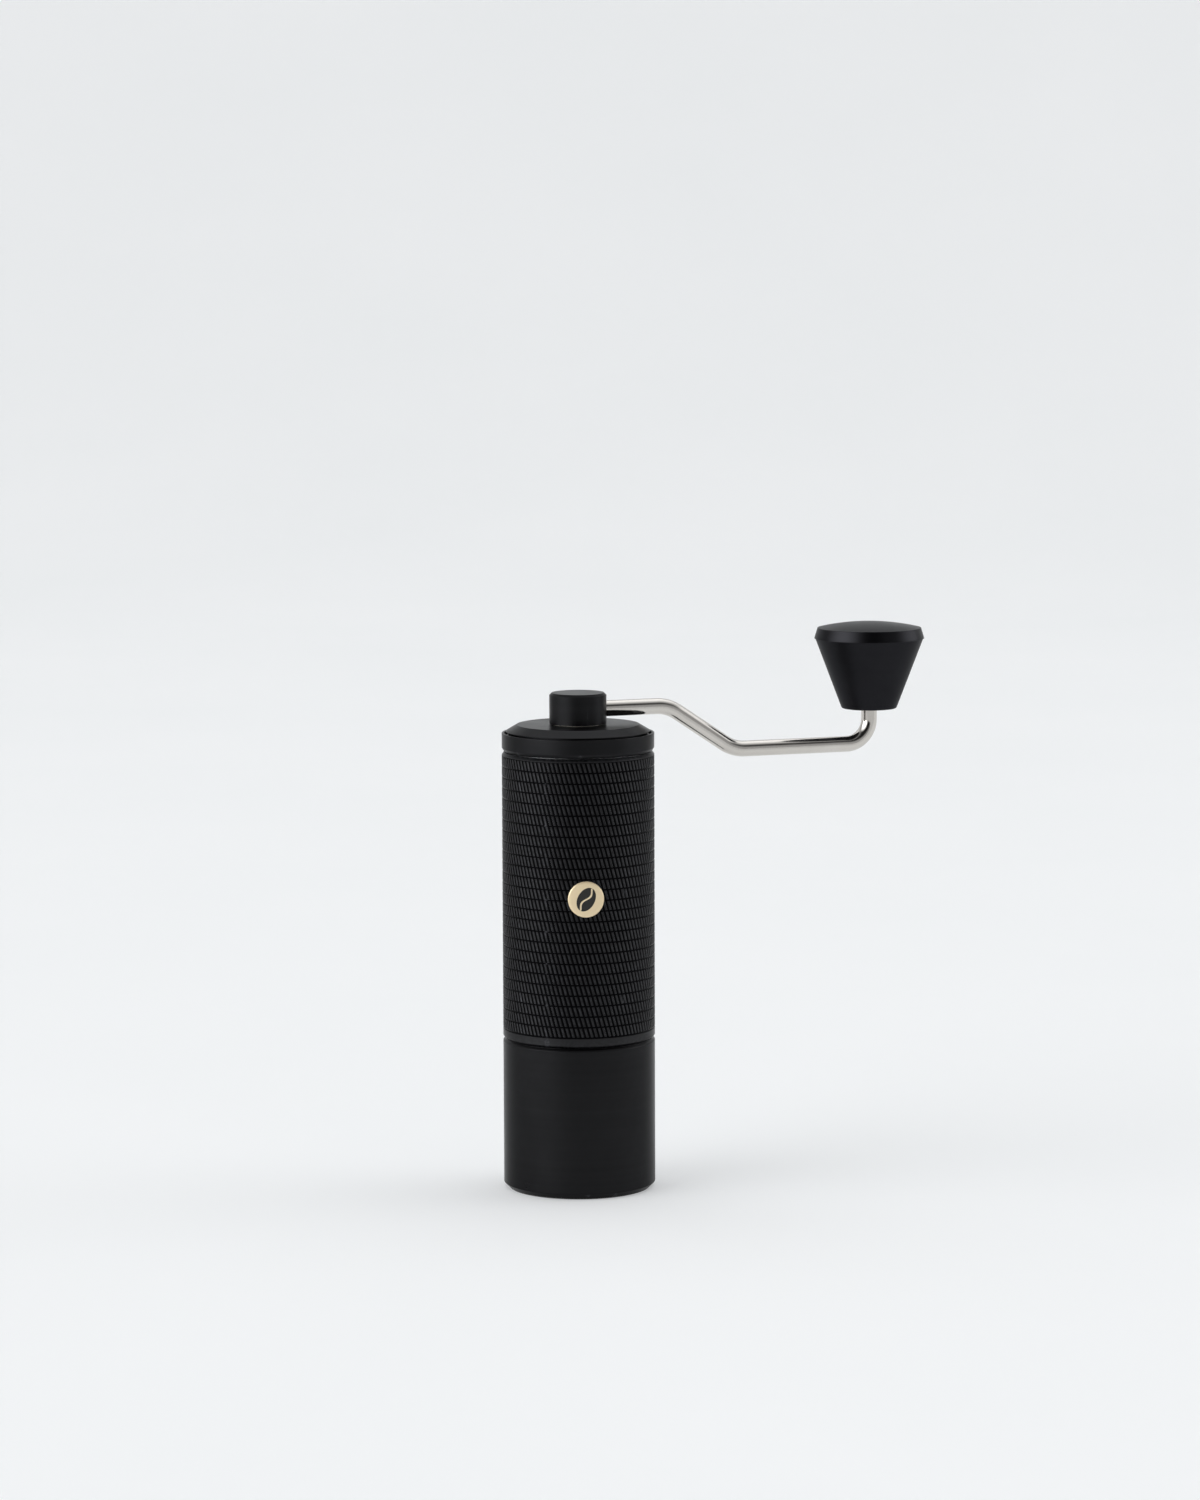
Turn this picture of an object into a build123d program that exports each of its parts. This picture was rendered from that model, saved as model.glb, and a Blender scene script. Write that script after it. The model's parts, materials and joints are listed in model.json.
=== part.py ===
"""Hand crank coffee grinder with conical burrs, a click dial, a lift-off crank lid and a catch cup.

Millimetres. The origin is the centre of the base on the grinding axis, +Z runs up that axis, and
the crank points along +X at rest. Threads are plain surfaces at their running clearance.
"""

import os
from math import atan2, cos, degrees, radians, sin, sqrt

from build123d import *

os.makedirs("parts", exist_ok=True)

# ---------------------------------------------------------------- driving dimensions
# Overall body
body_radius = 26.0
cup_joint_height = 51.9  # the cup's rim above the table
sleeve_length = 98.5
dial_gap = 0.2  # between the sleeve and the dial ring
dial_height = 6.2
lid_rise = 2.8  # the lid's flat top above the dial ring

# Clearances
running_gap = 0.05  # turning and sliding fits
slip_gap = 0.3  # pieces that pass each other without a fit
press_gap = 0.02  # pieces fixed in one another
seal_gap = 0.1  # a seal's rim and the wall it wipes
seat_gap = 0.1  # end float of a retained piece
cut_margin = 1.0  # how far a cutter runs past the face that it opens

# Catch cup
cup_wall = 2.6
cup_floor = 2.5
cup_ledge = 0.5
cup_floor_bevel = 2.0  # inside, round the floor
cup_foot_bevel = 1.5
rim_bevel = 0.8
rim_step = 0.8  # width of the flat rim left by the bevel
foot_proud = 0.4
foot_pad_thickness = 1.2
foot_pad_inset = 1.9  # from the cup's wall to the pad's edge
foot_groove_inset = 3.0  # from the pad's edge
foot_groove_width = 1.0
steel_ring_thickness = 1.5
steel_ring_width = 3.2

# Grip sleeve and bean chamber
sleeve_wall = 2.0
barrel_wall = 1.55
throat_step = 0.75  # from the body radius to the bottom of the V gaps
throat_bevel = 1.0
badge_radius = 6.15
badge_height = 103.0
badge_bearing = -104.0  # degrees from +X
badge_proud = 0.15
badge_edge = 0.35  # thickness of the badge's pocket at its sides

# Burr housing and lower bracket
skirt_depth = 7.9
skirt_wall = 3.1
housing_height = 18.1  # above the cup joint
burr_lip = 1.2
burr_lip_height = 1.0
bracket_thickness = 6.0
bracket_rim_width = 2.4
arm_count = 3
arm_width = 5.0
arm_overlap = 0.75  # into the hub and into the rim
bracket_hub_rise = 1.4  # above the bracket's rim
bearing_lip = 1.0
bracket_screw_radius = 0.8
bracket_screw_head_radius = 1.1
bracket_screw_head = 1.2
bracket_screw_length = 5.0  # below the bracket
magnet_radius = 1.1
magnet_length = 2.0
magnet_count = 6
seal_thickness = 1.6
seal_depth = 0.9

# Burrs
outer_burr_height = 18.0
outer_burr_lift = 2.0  # above the skirt's lower edge
throat_wall = 5.05  # of the outer burr at its narrowest
burr_slope = 0.5  # radius lost per millimetre of height in the fine zone
fine_zone = 6.0
burr_mouth_wall = 1.7
burr_gap = 0.4  # radial gap between the fine zones at rest
inner_burr_height = 19.5
inner_burr_lift = 0.5
inner_burr_neck_wall = 2.6
coarse_flutes = 7
fine_teeth = 42
fine_tooth = 0.7  # width of the cut between two fine teeth
fine_skew = 16.0  # degrees from the burr's own slope
outer_flute = 1.6
outer_flute_skew = 24.0
inner_flute = 3.6
inner_flute_skew = 28.0
outer_cut_run = 1.6  # length of a cut over the height that it crosses
inner_cut_run = 1.3
retaining_ring_thickness = 1.6
retaining_ring_width = 1.4
retaining_ring_slots = 4
retaining_ring_slot = 2.0

# Shaft and bearings
shaft_radius = 4.0
hex_flat = 3.45  # centre to flat
shaft_tail = 4.0  # thread below the skirt
tail_radius = 3.0
hex_reach = 4.4  # of the shaft's upper hexagon below the crank's socket
shaft_top_spare = 0.7  # above the shaft at its highest
shaft_chamfer = 0.4
tail_chamfer = 0.5
bearing_width = 5.0
race_thickness = 1.2
ball_channel = 1.6  # between the two races
ball_radius = 1.2
ball_count = 8
ball_gap = 0.05
bearing_hub_wall = 2.0
circlip_thickness = 0.8
circlip_depth = 0.4
circlip_height = 1.0
circlip_slot = 2.0
shaft_clip_slot = 1.6
shaft_clip_clear = 0.2  # inside the inner race's edge
nut_flat = 5.0
nut_height = 4.0
nut_chamfer = 0.4
washer_thickness = 1.2
washer_overhang = 1.5  # past the nut's flats
spring_wire = 0.5
spring_turns = 3
spring_clear = 0.4  # inside the inner race's edge

# Dial ring, index ring and carrier
thread_pitch = 1.5
neck_length = 9.6
neck_wall = 1.5
neck_clear = 0.9  # from the neck to the bean chamber's wall
index_thickness = 5.6
lip_wall = 0.9
lid_shoulder = 2.4  # above the dial ring's underside
click_ring_thickness = 1.2
click_count = 72
click_width = 2.6
click_radius = 0.8
detent_ball_radius = 1.0
detent_spring_length = 3.0
stop_pin_radius = 0.6
detent_count = 2
detent_turn = 30.0  # bearing of the first detent, in degrees
dial_up_travel = 90.0  # degrees clockwise from rest to the finest setting
dial_down_travel = 240.0  # degrees the other way to the coarsest
dial_circlip_reach = 0.6
dial_circlip_slot = 4.0
dial_bevel = 1.2
lip_edge = 0.3
detent_wire = 0.3
detent_coils = 4
detent_coil_radius = 0.75
carrier_rim_height = 8.5
carrier_rim_width = 1.5
carrier_rim_sink = 2.0  # of the rim into the arms
carrier_arm_drop = 11.6  # from the dial ring's underside to the arms' top
carrier_arm_thickness = 6.0
carrier_arm_width = 4.0
carrier_hub_height = 7.4
carrier_hub_drop = 1.0  # below the arms
key_depth = 0.8
key_play = 0.1
key_slot_spare = 1.0  # below the carrier at its lowest
stop_pin_end = 0.55  # between the pin's tip and the dial's neck bore
stop_lug_height = 1.2
stop_play = 0.3  # degrees left at either stop

# Lid
lid_gap = 0.2
lid_bevel_run = 4.0
lid_bevel_rise = 2.4
lid_skin = 3.0
spigot_wall = 2.1
spigot_drop = 3.5
lid_boss_radius = 10.0
lid_boss_height = 6.0
lid_seal_thickness = 1.4
bush_wall = 1.4
thrust_washer_thickness = 0.3
thrust_washer_inset = 1.2  # from the hub's edge

# Crank and knob
spindle_radius = 6.0
spindle_drop = 9.5
spindle_roof = 1.2
hex_gap = 0.1
socket_depth = 10.2
hub_radius = 9.75
hub_height = 10.5
hub_bevel = 0.8
spindle_clip_reach = 0.6  # past the lid's bush
recess_share = 0.8  # flat of a screw's hexagon recess over its radius
rod_radius = 2.75
rod_rest_gap = 0.05  # rod above the spindle's top
rod_bite = 5.5  # past the grinding axis inside the hub
rod_drop = 16.0  # from the upper run to the lower run
first_bend_at = 32.7
second_bend_at = 56.8
crank_radius = 107.6
crank_bend = 13.5
elbow_bend = 8.5
hub_screw_radius = 1.5
hub_screw_head_radius = 2.75
hub_screw_head = 2.0
hub_screw_length = 7.0
knob_bottom_lift = 12.2  # above the lower run's axis
knob_bottom_radius = 9.5
knob_edge_radius = 0.9
knob_cone_height = 24.4
knob_wide_radius = 19.1
knob_seam = 0.35
knob_cap_height = 3.7
knob_cap_radius = 18.0
knob_dome = 2.1
knob_spindle_radius = 2.25
knob_lip = 1.0
knob_bush_wall = 1.6
knob_bush_length = 6.0
knob_bore_length = 15.4
knob_pocket_radius = 7.0
knob_cap_spigot = 1.8
knob_cap_rim = 4.1  # width of the cap's seat on the shell
knob_washer_radius = 5.2
knob_washer_thickness = 0.8
knob_screw_radius = 1.5
knob_screw_head_radius = 2.8
knob_screw_head = 1.8
knob_screw_length = 6.0


# ---------------------------------------------------------------- helpers
def outline(*points):
    """A closed outline of (radius, height) points, standing in the XZ plane."""
    with BuildSketch(Plane.XZ) as sketch:
        with BuildLine():
            Polyline(*points, close=True)
        make_face()
    return sketch.sketch


def band(inner, outer, low, high):
    """The outline of a plain ring or, from the axis, of a disc."""
    return outline((inner, low), (outer, low), (outer, high), (inner, high))


def finish(piece, label):
    """Label a finished piece and write it."""
    piece.part.label = label
    export_step(piece.part, f"parts/{label}.step")


def spoke_angles(count, first=0.0):
    """Evenly spaced bearings about the grinding axis, in degrees."""
    return [first + 360.0 * index / count for index in range(count)]


# ---------------------------------------------------------------- shared heights and radii
cup_base = foot_proud
joint = cup_joint_height
skirt_low = joint - skirt_depth
sleeve_top = joint + sleeve_length
dial_low = sleeve_top + dial_gap
dial_top = dial_low + dial_height
lid_top = dial_top + lid_rise
bracket_low = joint + housing_height
barrel_low = bracket_low + bracket_thickness
index_low = dial_low - index_thickness

sleeve_bore = body_radius - sleeve_wall
core_radius = sleeve_bore - running_gap  # everything stacked inside the sleeve
chamber_radius = core_radius - barrel_wall
cup_bore = body_radius - cup_wall
skirt_radius = cup_bore - slip_gap
burr_bore = skirt_radius - skirt_wall
throat_radius = body_radius - throat_step

neck_radius = chamber_radius - neck_clear
neck_bore = neck_radius - neck_wall
neck_low = dial_low - neck_length
lip_bore = body_radius - lip_wall
shoulder = dial_low + lid_shoulder

bearing_radius = shaft_radius + running_gap + 2 * race_thickness + ball_channel
hub_bore = bearing_radius + press_gap
hub_wall_radius = hub_bore + bearing_hub_wall

travel_up = thread_pitch * dial_up_travel / 360.0
travel_down = thread_pitch * dial_down_travel / 360.0


# ---------------------------------------------------------------- catch cup
steel_ring_low = skirt_low - seat_gap - steel_ring_thickness
ledge_bore = cup_bore - cup_ledge
foot_pad_radius = body_radius - foot_pad_inset

with BuildPart() as catch_cup:
    revolve(
        outline(
            (0, foot_pad_thickness),
            (foot_pad_radius + seat_gap, foot_pad_thickness),
            (foot_pad_radius + seat_gap, cup_base),
            (body_radius - cup_foot_bevel, cup_base),
            (body_radius, cup_base + cup_foot_bevel),
            (body_radius, joint - rim_bevel - seat_gap),
            (body_radius - rim_step, joint - seat_gap),
            (body_radius - rim_step, joint),
            (cup_bore, joint),
            (cup_bore, steel_ring_low),
            (ledge_bore, steel_ring_low),
            (ledge_bore, cup_base + cup_floor + cup_floor_bevel),
            (ledge_bore - cup_floor_bevel, cup_base + cup_floor),
            (0, cup_base + cup_floor),
        ),
        axis=Axis.Z,
    )
finish(catch_cup, "catch_cup")

with BuildPart() as cup_steel_ring:
    revolve(
        band(cup_bore - steel_ring_width, cup_bore - press_gap, steel_ring_low, skirt_low - seat_gap),
        axis=Axis.Z,
    )
finish(cup_steel_ring, "cup_steel_ring")

with BuildPart() as foot_pad:
    revolve(band(0, foot_pad_radius, 0, foot_pad_thickness), axis=Axis.Z)
    with BuildSketch(Plane.XY):
        Circle(foot_pad_radius - foot_groove_inset)
        Circle(foot_pad_radius - foot_groove_inset - foot_groove_width, mode=Mode.SUBTRACT)
    extrude(amount=foot_proud, mode=Mode.SUBTRACT)
finish(foot_pad, "foot_pad")


# ---------------------------------------------------------------- grip sleeve and badge
badge_turn = radians(badge_bearing)
badge_plane = Plane(
    origin=(0, 0, badge_height),
    x_dir=(-sin(badge_turn), cos(badge_turn), 0),
    z_dir=(cos(badge_turn), sin(badge_turn), 0),
)
badge_pocket_radius = badge_radius + running_gap
badge_seat = sqrt(body_radius**2 - badge_pocket_radius**2) - badge_edge

with BuildPart() as outer_sleeve:
    revolve(
        outline(
            (sleeve_bore, joint),
            (throat_radius, joint),
            (body_radius, joint + throat_bevel),
            (body_radius, sleeve_top - throat_bevel),
            (throat_radius, sleeve_top),
            (sleeve_bore, sleeve_top),
        ),
        axis=Axis.Z,
    )
    with BuildSketch(badge_plane.offset(badge_seat)):
        Circle(badge_pocket_radius)
    extrude(amount=body_radius - badge_seat + cut_margin, mode=Mode.SUBTRACT)
finish(outer_sleeve, "outer_sleeve")

with BuildPart() as badge:
    with BuildSketch(badge_plane.offset(badge_seat)):
        Circle(badge_radius)
    extrude(amount=body_radius - badge_seat + cut_margin)
    with Locations((0, 0, badge_height)):
        Cylinder(body_radius + badge_proud, 4 * badge_radius, mode=Mode.INTERSECT)
finish(badge, "badge")


# ---------------------------------------------------------------- bean chamber
arm_top = dial_low - carrier_arm_drop
arm_low = arm_top - carrier_arm_thickness
slot_low = arm_low - travel_down - key_slot_spare
stop_height = neck_low - stop_lug_height / 2
stop_bearing = 180.0 / arm_count  # between two of the carrier's arms
pin_side = Plane((0, 0, stop_height), z_dir=Vector(1, 0, 0).rotate(Axis.Z, stop_bearing))

with BuildPart() as inner_barrel:
    revolve(band(chamber_radius, core_radius, barrel_low, index_low), axis=Axis.Z)
    with BuildSketch(Plane.XY.offset(slot_low)):
        with PolarLocations(chamber_radius, arm_count):
            Rectangle(2 * (key_depth + key_play), carrier_arm_width + 2 * key_play)
    extrude(amount=index_low - slot_low, mode=Mode.SUBTRACT)
    with BuildSketch(pin_side):
        Circle(stop_pin_radius + press_gap)
    extrude(amount=body_radius, mode=Mode.SUBTRACT)
finish(inner_barrel, "inner_barrel")

with BuildPart() as stop_pin:
    with BuildSketch(pin_side.offset(neck_bore + stop_pin_end)):
        Circle(stop_pin_radius)
    extrude(amount=core_radius - neck_bore - stop_pin_end - seat_gap)
finish(stop_pin, "stop_pin")


# ---------------------------------------------------------------- burr housing
burr_low = skirt_low + outer_burr_lift
burr_high = burr_low + outer_burr_height
funnel_low = burr_high + burr_lip_height
seal_middle = (burr_low + joint) / 2
magnet_circle = (burr_bore + skirt_radius) / 2
bracket_bore = core_radius - bracket_rim_width
bracket_screw_circle = core_radius - bracket_rim_width / 2
bracket_screw_turn = 180.0 / arm_count

with BuildPart() as burr_housing:
    revolve(
        outline(
            (burr_bore, skirt_low),
            (skirt_radius, skirt_low),
            (skirt_radius, seal_middle - seal_thickness / 2),
            (skirt_radius - seal_depth, seal_middle - seal_thickness / 2),
            (skirt_radius - seal_depth, seal_middle + seal_thickness / 2),
            (skirt_radius, seal_middle + seal_thickness / 2),
            (skirt_radius, joint),
            (core_radius, joint),
            (core_radius, bracket_low),
            (bracket_bore, bracket_low),
            (burr_bore - burr_lip, funnel_low),
            (burr_bore - burr_lip, burr_high),
            (burr_bore, burr_high),
        ),
        axis=Axis.Z,
    )
    with BuildSketch(Plane.XY.offset(skirt_low)):
        with PolarLocations(magnet_circle, magnet_count):
            Circle(magnet_radius + press_gap)
    extrude(amount=magnet_length, mode=Mode.SUBTRACT)
    with BuildSketch(Plane.XY.offset(bracket_low)):
        with PolarLocations(bracket_screw_circle, arm_count, start_angle=bracket_screw_turn):
            Circle(bracket_screw_radius + press_gap)
    extrude(amount=-bracket_screw_length - seat_gap, mode=Mode.SUBTRACT)
finish(burr_housing, "burr_housing")

with BuildPart() as cup_magnets:
    with BuildSketch(Plane.XY.offset(skirt_low)):
        with PolarLocations(magnet_circle, magnet_count):
            Circle(magnet_radius)
    extrude(amount=magnet_length)
finish(cup_magnets, "cup_magnets")

with BuildPart() as skirt_seal:
    seal_low = seal_middle - seal_thickness / 2 + press_gap
    seal_high = seal_middle + seal_thickness / 2 - press_gap
    revolve(
        outline(
            (skirt_radius - seal_depth + press_gap, seal_low),
            (skirt_radius, seal_low),
            (cup_bore - seal_gap, seal_middle),
            (skirt_radius, seal_high),
            (skirt_radius - seal_depth + press_gap, seal_high),
        ),
        axis=Axis.Z,
    )
finish(skirt_seal, "skirt_seal")


# ---------------------------------------------------------------- burrs
throat_height = burr_low + fine_zone
burr_throat = burr_bore - throat_wall
burr_foot = burr_throat + burr_slope * fine_zone
burr_mouth = burr_bore - burr_mouth_wall
inner_burr_low = burr_low + inner_burr_lift
inner_burr_high = inner_burr_low + inner_burr_height
inner_throat = burr_throat - burr_gap
inner_foot = inner_throat + burr_slope * (throat_height - inner_burr_low)
inner_neck = shaft_radius + inner_burr_neck_wall


def tooth_places(low_radius, low, high_radius, high, count, skew):
    """Places of slanted teeth on a cone: +Z of each runs up the cone, skewed about the radius."""
    lean = degrees(atan2(high_radius - low_radius, high - low))
    middle = ((low_radius + high_radius) / 2, 0, (low + high) / 2)
    on_the_cone = Location(middle, (0, lean, 0)) * Location((0, 0, 0), (skew, 0, 0))
    return [Location((0, 0, 0), (0, 0, bearing)) * on_the_cone for bearing in spoke_angles(count)]


with BuildPart() as outer_burr:
    revolve(
        outline(
            (burr_foot, burr_low),
            (burr_bore - press_gap, burr_low),
            (burr_bore - press_gap, burr_high),
            (burr_mouth, burr_high),
            (burr_throat, throat_height),
        ),
        axis=Axis.Z,
    )
    fine_cuts = tooth_places(burr_foot, burr_low, burr_throat, throat_height, fine_teeth, fine_skew)
    with Locations(fine_cuts):
        Box(fine_tooth, fine_tooth, outer_cut_run * fine_zone, rotation=(0, 0, 45), mode=Mode.SUBTRACT)
    coarse_cuts = tooth_places(
        burr_throat, throat_height, burr_mouth, burr_high, 2 * coarse_flutes, -outer_flute_skew
    )
    with Locations(coarse_cuts):
        Box(outer_flute, outer_flute, outer_burr_height, rotation=(0, 0, 45), mode=Mode.SUBTRACT)
finish(outer_burr, "outer_burr")

with BuildPart() as inner_burr:
    revolve(
        outline(
            (0, inner_burr_low),
            (inner_foot, inner_burr_low),
            (inner_throat, throat_height),
            (inner_neck, inner_burr_high),
            (0, inner_burr_high),
        ),
        axis=Axis.Z,
    )
    coarse_cuts = tooth_places(
        inner_throat, throat_height, inner_neck, inner_burr_high, coarse_flutes, inner_flute_skew
    )
    with Locations(coarse_cuts):
        Box(
            inner_flute,
            inner_flute,
            inner_cut_run * inner_burr_height,
            rotation=(0, 0, 45),
            mode=Mode.SUBTRACT,
        )
    fine_cuts = tooth_places(
        inner_foot, inner_burr_low, inner_throat, throat_height, fine_teeth, -fine_skew
    )
    with Locations(fine_cuts):
        Box(fine_tooth, fine_tooth, inner_cut_run * fine_zone, rotation=(0, 0, 45), mode=Mode.SUBTRACT)
    with BuildSketch(Plane.XY.offset(inner_burr_low)):
        RegularPolygon(hex_flat + running_gap, 6, major_radius=False)
    extrude(amount=inner_burr_height, mode=Mode.SUBTRACT)
finish(inner_burr, "inner_burr")

with BuildPart() as burr_retaining_ring:
    revolve(
        band(
            burr_bore - retaining_ring_width,
            burr_bore - running_gap,
            burr_low - retaining_ring_thickness,
            burr_low,
        ),
        axis=Axis.Z,
    )
    with BuildSketch(Plane.XY.offset(burr_low - retaining_ring_thickness)):
        with PolarLocations(burr_bore - retaining_ring_width, retaining_ring_slots):
            Rectangle(retaining_ring_width, retaining_ring_slot)
    extrude(amount=retaining_ring_thickness / 2, mode=Mode.SUBTRACT)
finish(burr_retaining_ring, "burr_retaining_ring")


# ---------------------------------------------------------------- ball bearings
ball_circle = shaft_radius + running_gap + race_thickness + ball_channel / 2
cage_half = ball_channel / 4
cage_edge = ball_radius / 2


def ball_bearing(place, low):
    """The races, balls and cage of one deep-groove bearing, its lower face at a given height."""
    high = low + bearing_width
    middle = (low + high) / 2
    channel_inner = ball_circle - ball_channel / 2
    channel_outer = ball_circle + ball_channel / 2

    with BuildPart() as outer_race:
        revolve(band(channel_outer, bearing_radius, low, high), axis=Axis.Z)
        with Locations((0, 0, middle)):
            Torus(ball_circle, ball_radius + ball_gap, mode=Mode.SUBTRACT)
    finish(outer_race, f"{place}_bearing_outer")

    with BuildPart() as inner_race:
        revolve(band(shaft_radius + running_gap, channel_inner, low, high), axis=Axis.Z)
        with Locations((0, 0, middle)):
            Torus(ball_circle, ball_radius + ball_gap, mode=Mode.SUBTRACT)
    finish(inner_race, f"{place}_bearing_inner")

    with BuildPart() as balls:
        with Locations((0, 0, middle)):
            with PolarLocations(ball_circle, ball_count):
                Sphere(ball_radius)
    finish(balls, f"{place}_bearing_balls")

    with BuildPart() as cage:
        cage_low = middle - ball_radius - cage_edge
        cage_high = middle + ball_radius + cage_edge
        revolve(band(ball_circle - cage_half, ball_circle + cage_half, cage_low, cage_high), axis=Axis.Z)
        with Locations((0, 0, middle)):
            with PolarLocations(ball_circle, ball_count):
                Cylinder(
                    ball_radius + ball_gap, ball_channel, rotation=(0, 90, 0), mode=Mode.SUBTRACT
                )
    finish(cage, f"{place}_bearing_cage")


lower_bearing_low = bracket_low + bearing_lip
upper_bearing_low = arm_low
ball_bearing("lower", lower_bearing_low)
ball_bearing("upper", upper_bearing_low)


# ---------------------------------------------------------------- lower bracket
clip_groove = bearing_radius + circlip_depth + seat_gap


def bearing_hub(low, high, bearing_low):
    """The outline of a hub with a lip under its bearing and a circlip groove above it."""
    clip_low = bearing_low + bearing_width
    return outline(
        (bearing_radius - bearing_lip, low),
        (hub_wall_radius, low),
        (hub_wall_radius, high),
        (hub_bore, high),
        (hub_bore, clip_low + circlip_height),
        (clip_groove, clip_low + circlip_height),
        (clip_groove, clip_low),
        (hub_bore, clip_low),
        (hub_bore, bearing_low),
        (bearing_radius - bearing_lip, bearing_low),
    )


def inside_circlip(bearing_low):
    """A circlip that sits in a hub's groove, over the bearing's outer race."""
    clip_low = bearing_low + bearing_width
    with BuildPart() as clip:
        revolve(
            band(
                bearing_radius - bearing_lip,
                clip_groove - seat_gap,
                clip_low,
                clip_low + circlip_thickness,
            ),
            axis=Axis.Z,
        )
        with BuildSketch(Plane.XY.offset(clip_low)):
            with Locations((bearing_radius, 0)):
                Rectangle(bearing_radius, circlip_slot)
        extrude(amount=circlip_thickness, mode=Mode.SUBTRACT)
    return clip


with BuildPart() as lower_bracket:
    revolve(band(bracket_bore, core_radius, bracket_low, barrel_low), axis=Axis.Z)
    revolve(bearing_hub(bracket_low, barrel_low + bracket_hub_rise, lower_bearing_low), axis=Axis.Z)
    with BuildSketch(Plane.XY.offset(bracket_low)):
        with PolarLocations((hub_wall_radius + bracket_bore) / 2, arm_count):
            Rectangle(bracket_bore - hub_wall_radius + 2 * arm_overlap, arm_width)
    extrude(amount=bracket_thickness)
    with BuildSketch(Plane.XY.offset(barrel_low)):
        with PolarLocations(bracket_screw_circle, arm_count, start_angle=bracket_screw_turn):
            Circle(bracket_screw_head_radius + press_gap)
    extrude(amount=-bracket_screw_head, mode=Mode.SUBTRACT)
    with BuildSketch(Plane.XY.offset(barrel_low)):
        with PolarLocations(bracket_screw_circle, arm_count, start_angle=bracket_screw_turn):
            Circle(bracket_screw_radius + press_gap)
    extrude(amount=-bracket_thickness, mode=Mode.SUBTRACT)
finish(lower_bracket, "lower_bracket")

bracket_circlip = inside_circlip(lower_bearing_low)
finish(bracket_circlip, "bracket_circlip")

with BuildPart() as bracket_screws:
    with BuildSketch(Plane.XY.offset(barrel_low)):
        with PolarLocations(bracket_screw_circle, arm_count, start_angle=bracket_screw_turn):
            Circle(bracket_screw_head_radius)
    extrude(amount=-bracket_screw_head)
    with BuildSketch(Plane.XY.offset(barrel_low)):
        with PolarLocations(bracket_screw_circle, arm_count, start_angle=bracket_screw_turn):
            Circle(bracket_screw_radius)
    extrude(amount=-bracket_thickness - bracket_screw_length)
    with BuildSketch(Plane.XY.offset(barrel_low)):
        with PolarLocations(bracket_screw_circle, arm_count, start_angle=bracket_screw_turn):
            RegularPolygon(bracket_screw_radius / 2, 6, major_radius=False)
    extrude(amount=-bracket_screw_head / 2, mode=Mode.SUBTRACT)
finish(bracket_screws, "bracket_screws")


# ---------------------------------------------------------------- grinding shaft
hub_foot = lid_top + thrust_washer_thickness
spindle_low = hub_foot - spindle_drop
socket_top = spindle_low + socket_depth
shaft_top = socket_top - hub_screw_head - travel_up - shaft_top_spare
hex_low = spindle_low - hex_reach
shaft_low = skirt_low - shaft_tail
clip_seat = shaft_radius - circlip_depth
upper_clip_low = upper_bearing_low + bearing_width + running_gap
lower_clip_low = upper_bearing_low - running_gap - circlip_thickness

with BuildPart() as drive_shaft:
    revolve(
        outline(
            (0, inner_burr_high),
            (shaft_radius, inner_burr_high),
            (shaft_radius, lower_clip_low),
            (clip_seat, lower_clip_low),
            (clip_seat, lower_clip_low + circlip_thickness),
            (shaft_radius, lower_clip_low + circlip_thickness),
            (shaft_radius, upper_clip_low),
            (clip_seat, upper_clip_low),
            (clip_seat, upper_clip_low + circlip_thickness),
            (shaft_radius, upper_clip_low + circlip_thickness),
            (shaft_radius, hex_low),
            (0, hex_low),
        ),
        axis=Axis.Z,
    )
    with BuildSketch(Plane.XY.offset(hex_low)):
        RegularPolygon(hex_flat, 6, major_radius=False)
    extrude(amount=shaft_top - hex_low)
    chamfer(faces().sort_by(Axis.Z)[-1].edges(), shaft_chamfer)
    with BuildSketch(Plane.XY.offset(inner_burr_low)):
        RegularPolygon(hex_flat, 6, major_radius=False)
    extrude(amount=inner_burr_height)
    with BuildSketch(Plane.XY.offset(shaft_low)):
        Circle(tail_radius)
    extrude(amount=inner_burr_low - shaft_low)
    chamfer(faces().sort_by(Axis.Z)[0].edges(), tail_chamfer)
finish(drive_shaft, "drive_shaft")

with BuildPart() as shaft_circlips:
    for clip_low in (lower_clip_low, upper_clip_low):
        revolve(
            band(
                clip_seat + press_gap,
                shaft_radius + race_thickness - shaft_clip_clear,
                clip_low,
                clip_low + circlip_thickness,
            ),
            axis=Axis.Z,
        )
        with BuildSketch(Plane.XY.offset(clip_low)):
            with Locations((shaft_radius, 0)):
                Rectangle(shaft_radius, shaft_clip_slot)
        extrude(amount=circlip_thickness, mode=Mode.SUBTRACT)
finish(shaft_circlips, "shaft_circlips")

nut_high = inner_burr_low - washer_thickness

with BuildPart() as burr_washer:
    revolve(
        band(tail_radius + running_gap, nut_flat + washer_overhang, nut_high, inner_burr_low),
        axis=Axis.Z,
    )
finish(burr_washer, "burr_washer")

with BuildPart() as burr_nut:
    with BuildSketch(Plane.XY.offset(nut_high)):
        RegularPolygon(nut_flat, 6, major_radius=False)
        Circle(tail_radius + running_gap, mode=Mode.SUBTRACT)
    extrude(amount=-nut_height)
    chamfer(edges().filter_by(GeomType.LINE).group_by(Axis.Z)[0], nut_chamfer)
finish(burr_nut, "burr_nut")

spring_radius = shaft_radius + running_gap + race_thickness - spring_clear
spring_length = lower_bearing_low - inner_burr_high - spring_wire
spring_low = inner_burr_high + spring_wire / 2

with BuildPart() as preload_spring:
    with BuildLine(Plane.XY.offset(spring_low)):
        Helix(spring_length / spring_turns, spring_length, spring_radius)
    with BuildSketch(Plane((spring_radius, 0, spring_low), z_dir=(0, 1, 0))):
        Circle(spring_wire / 2)
    sweep(is_frenet=True)
finish(preload_spring, "preload_spring")


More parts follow.
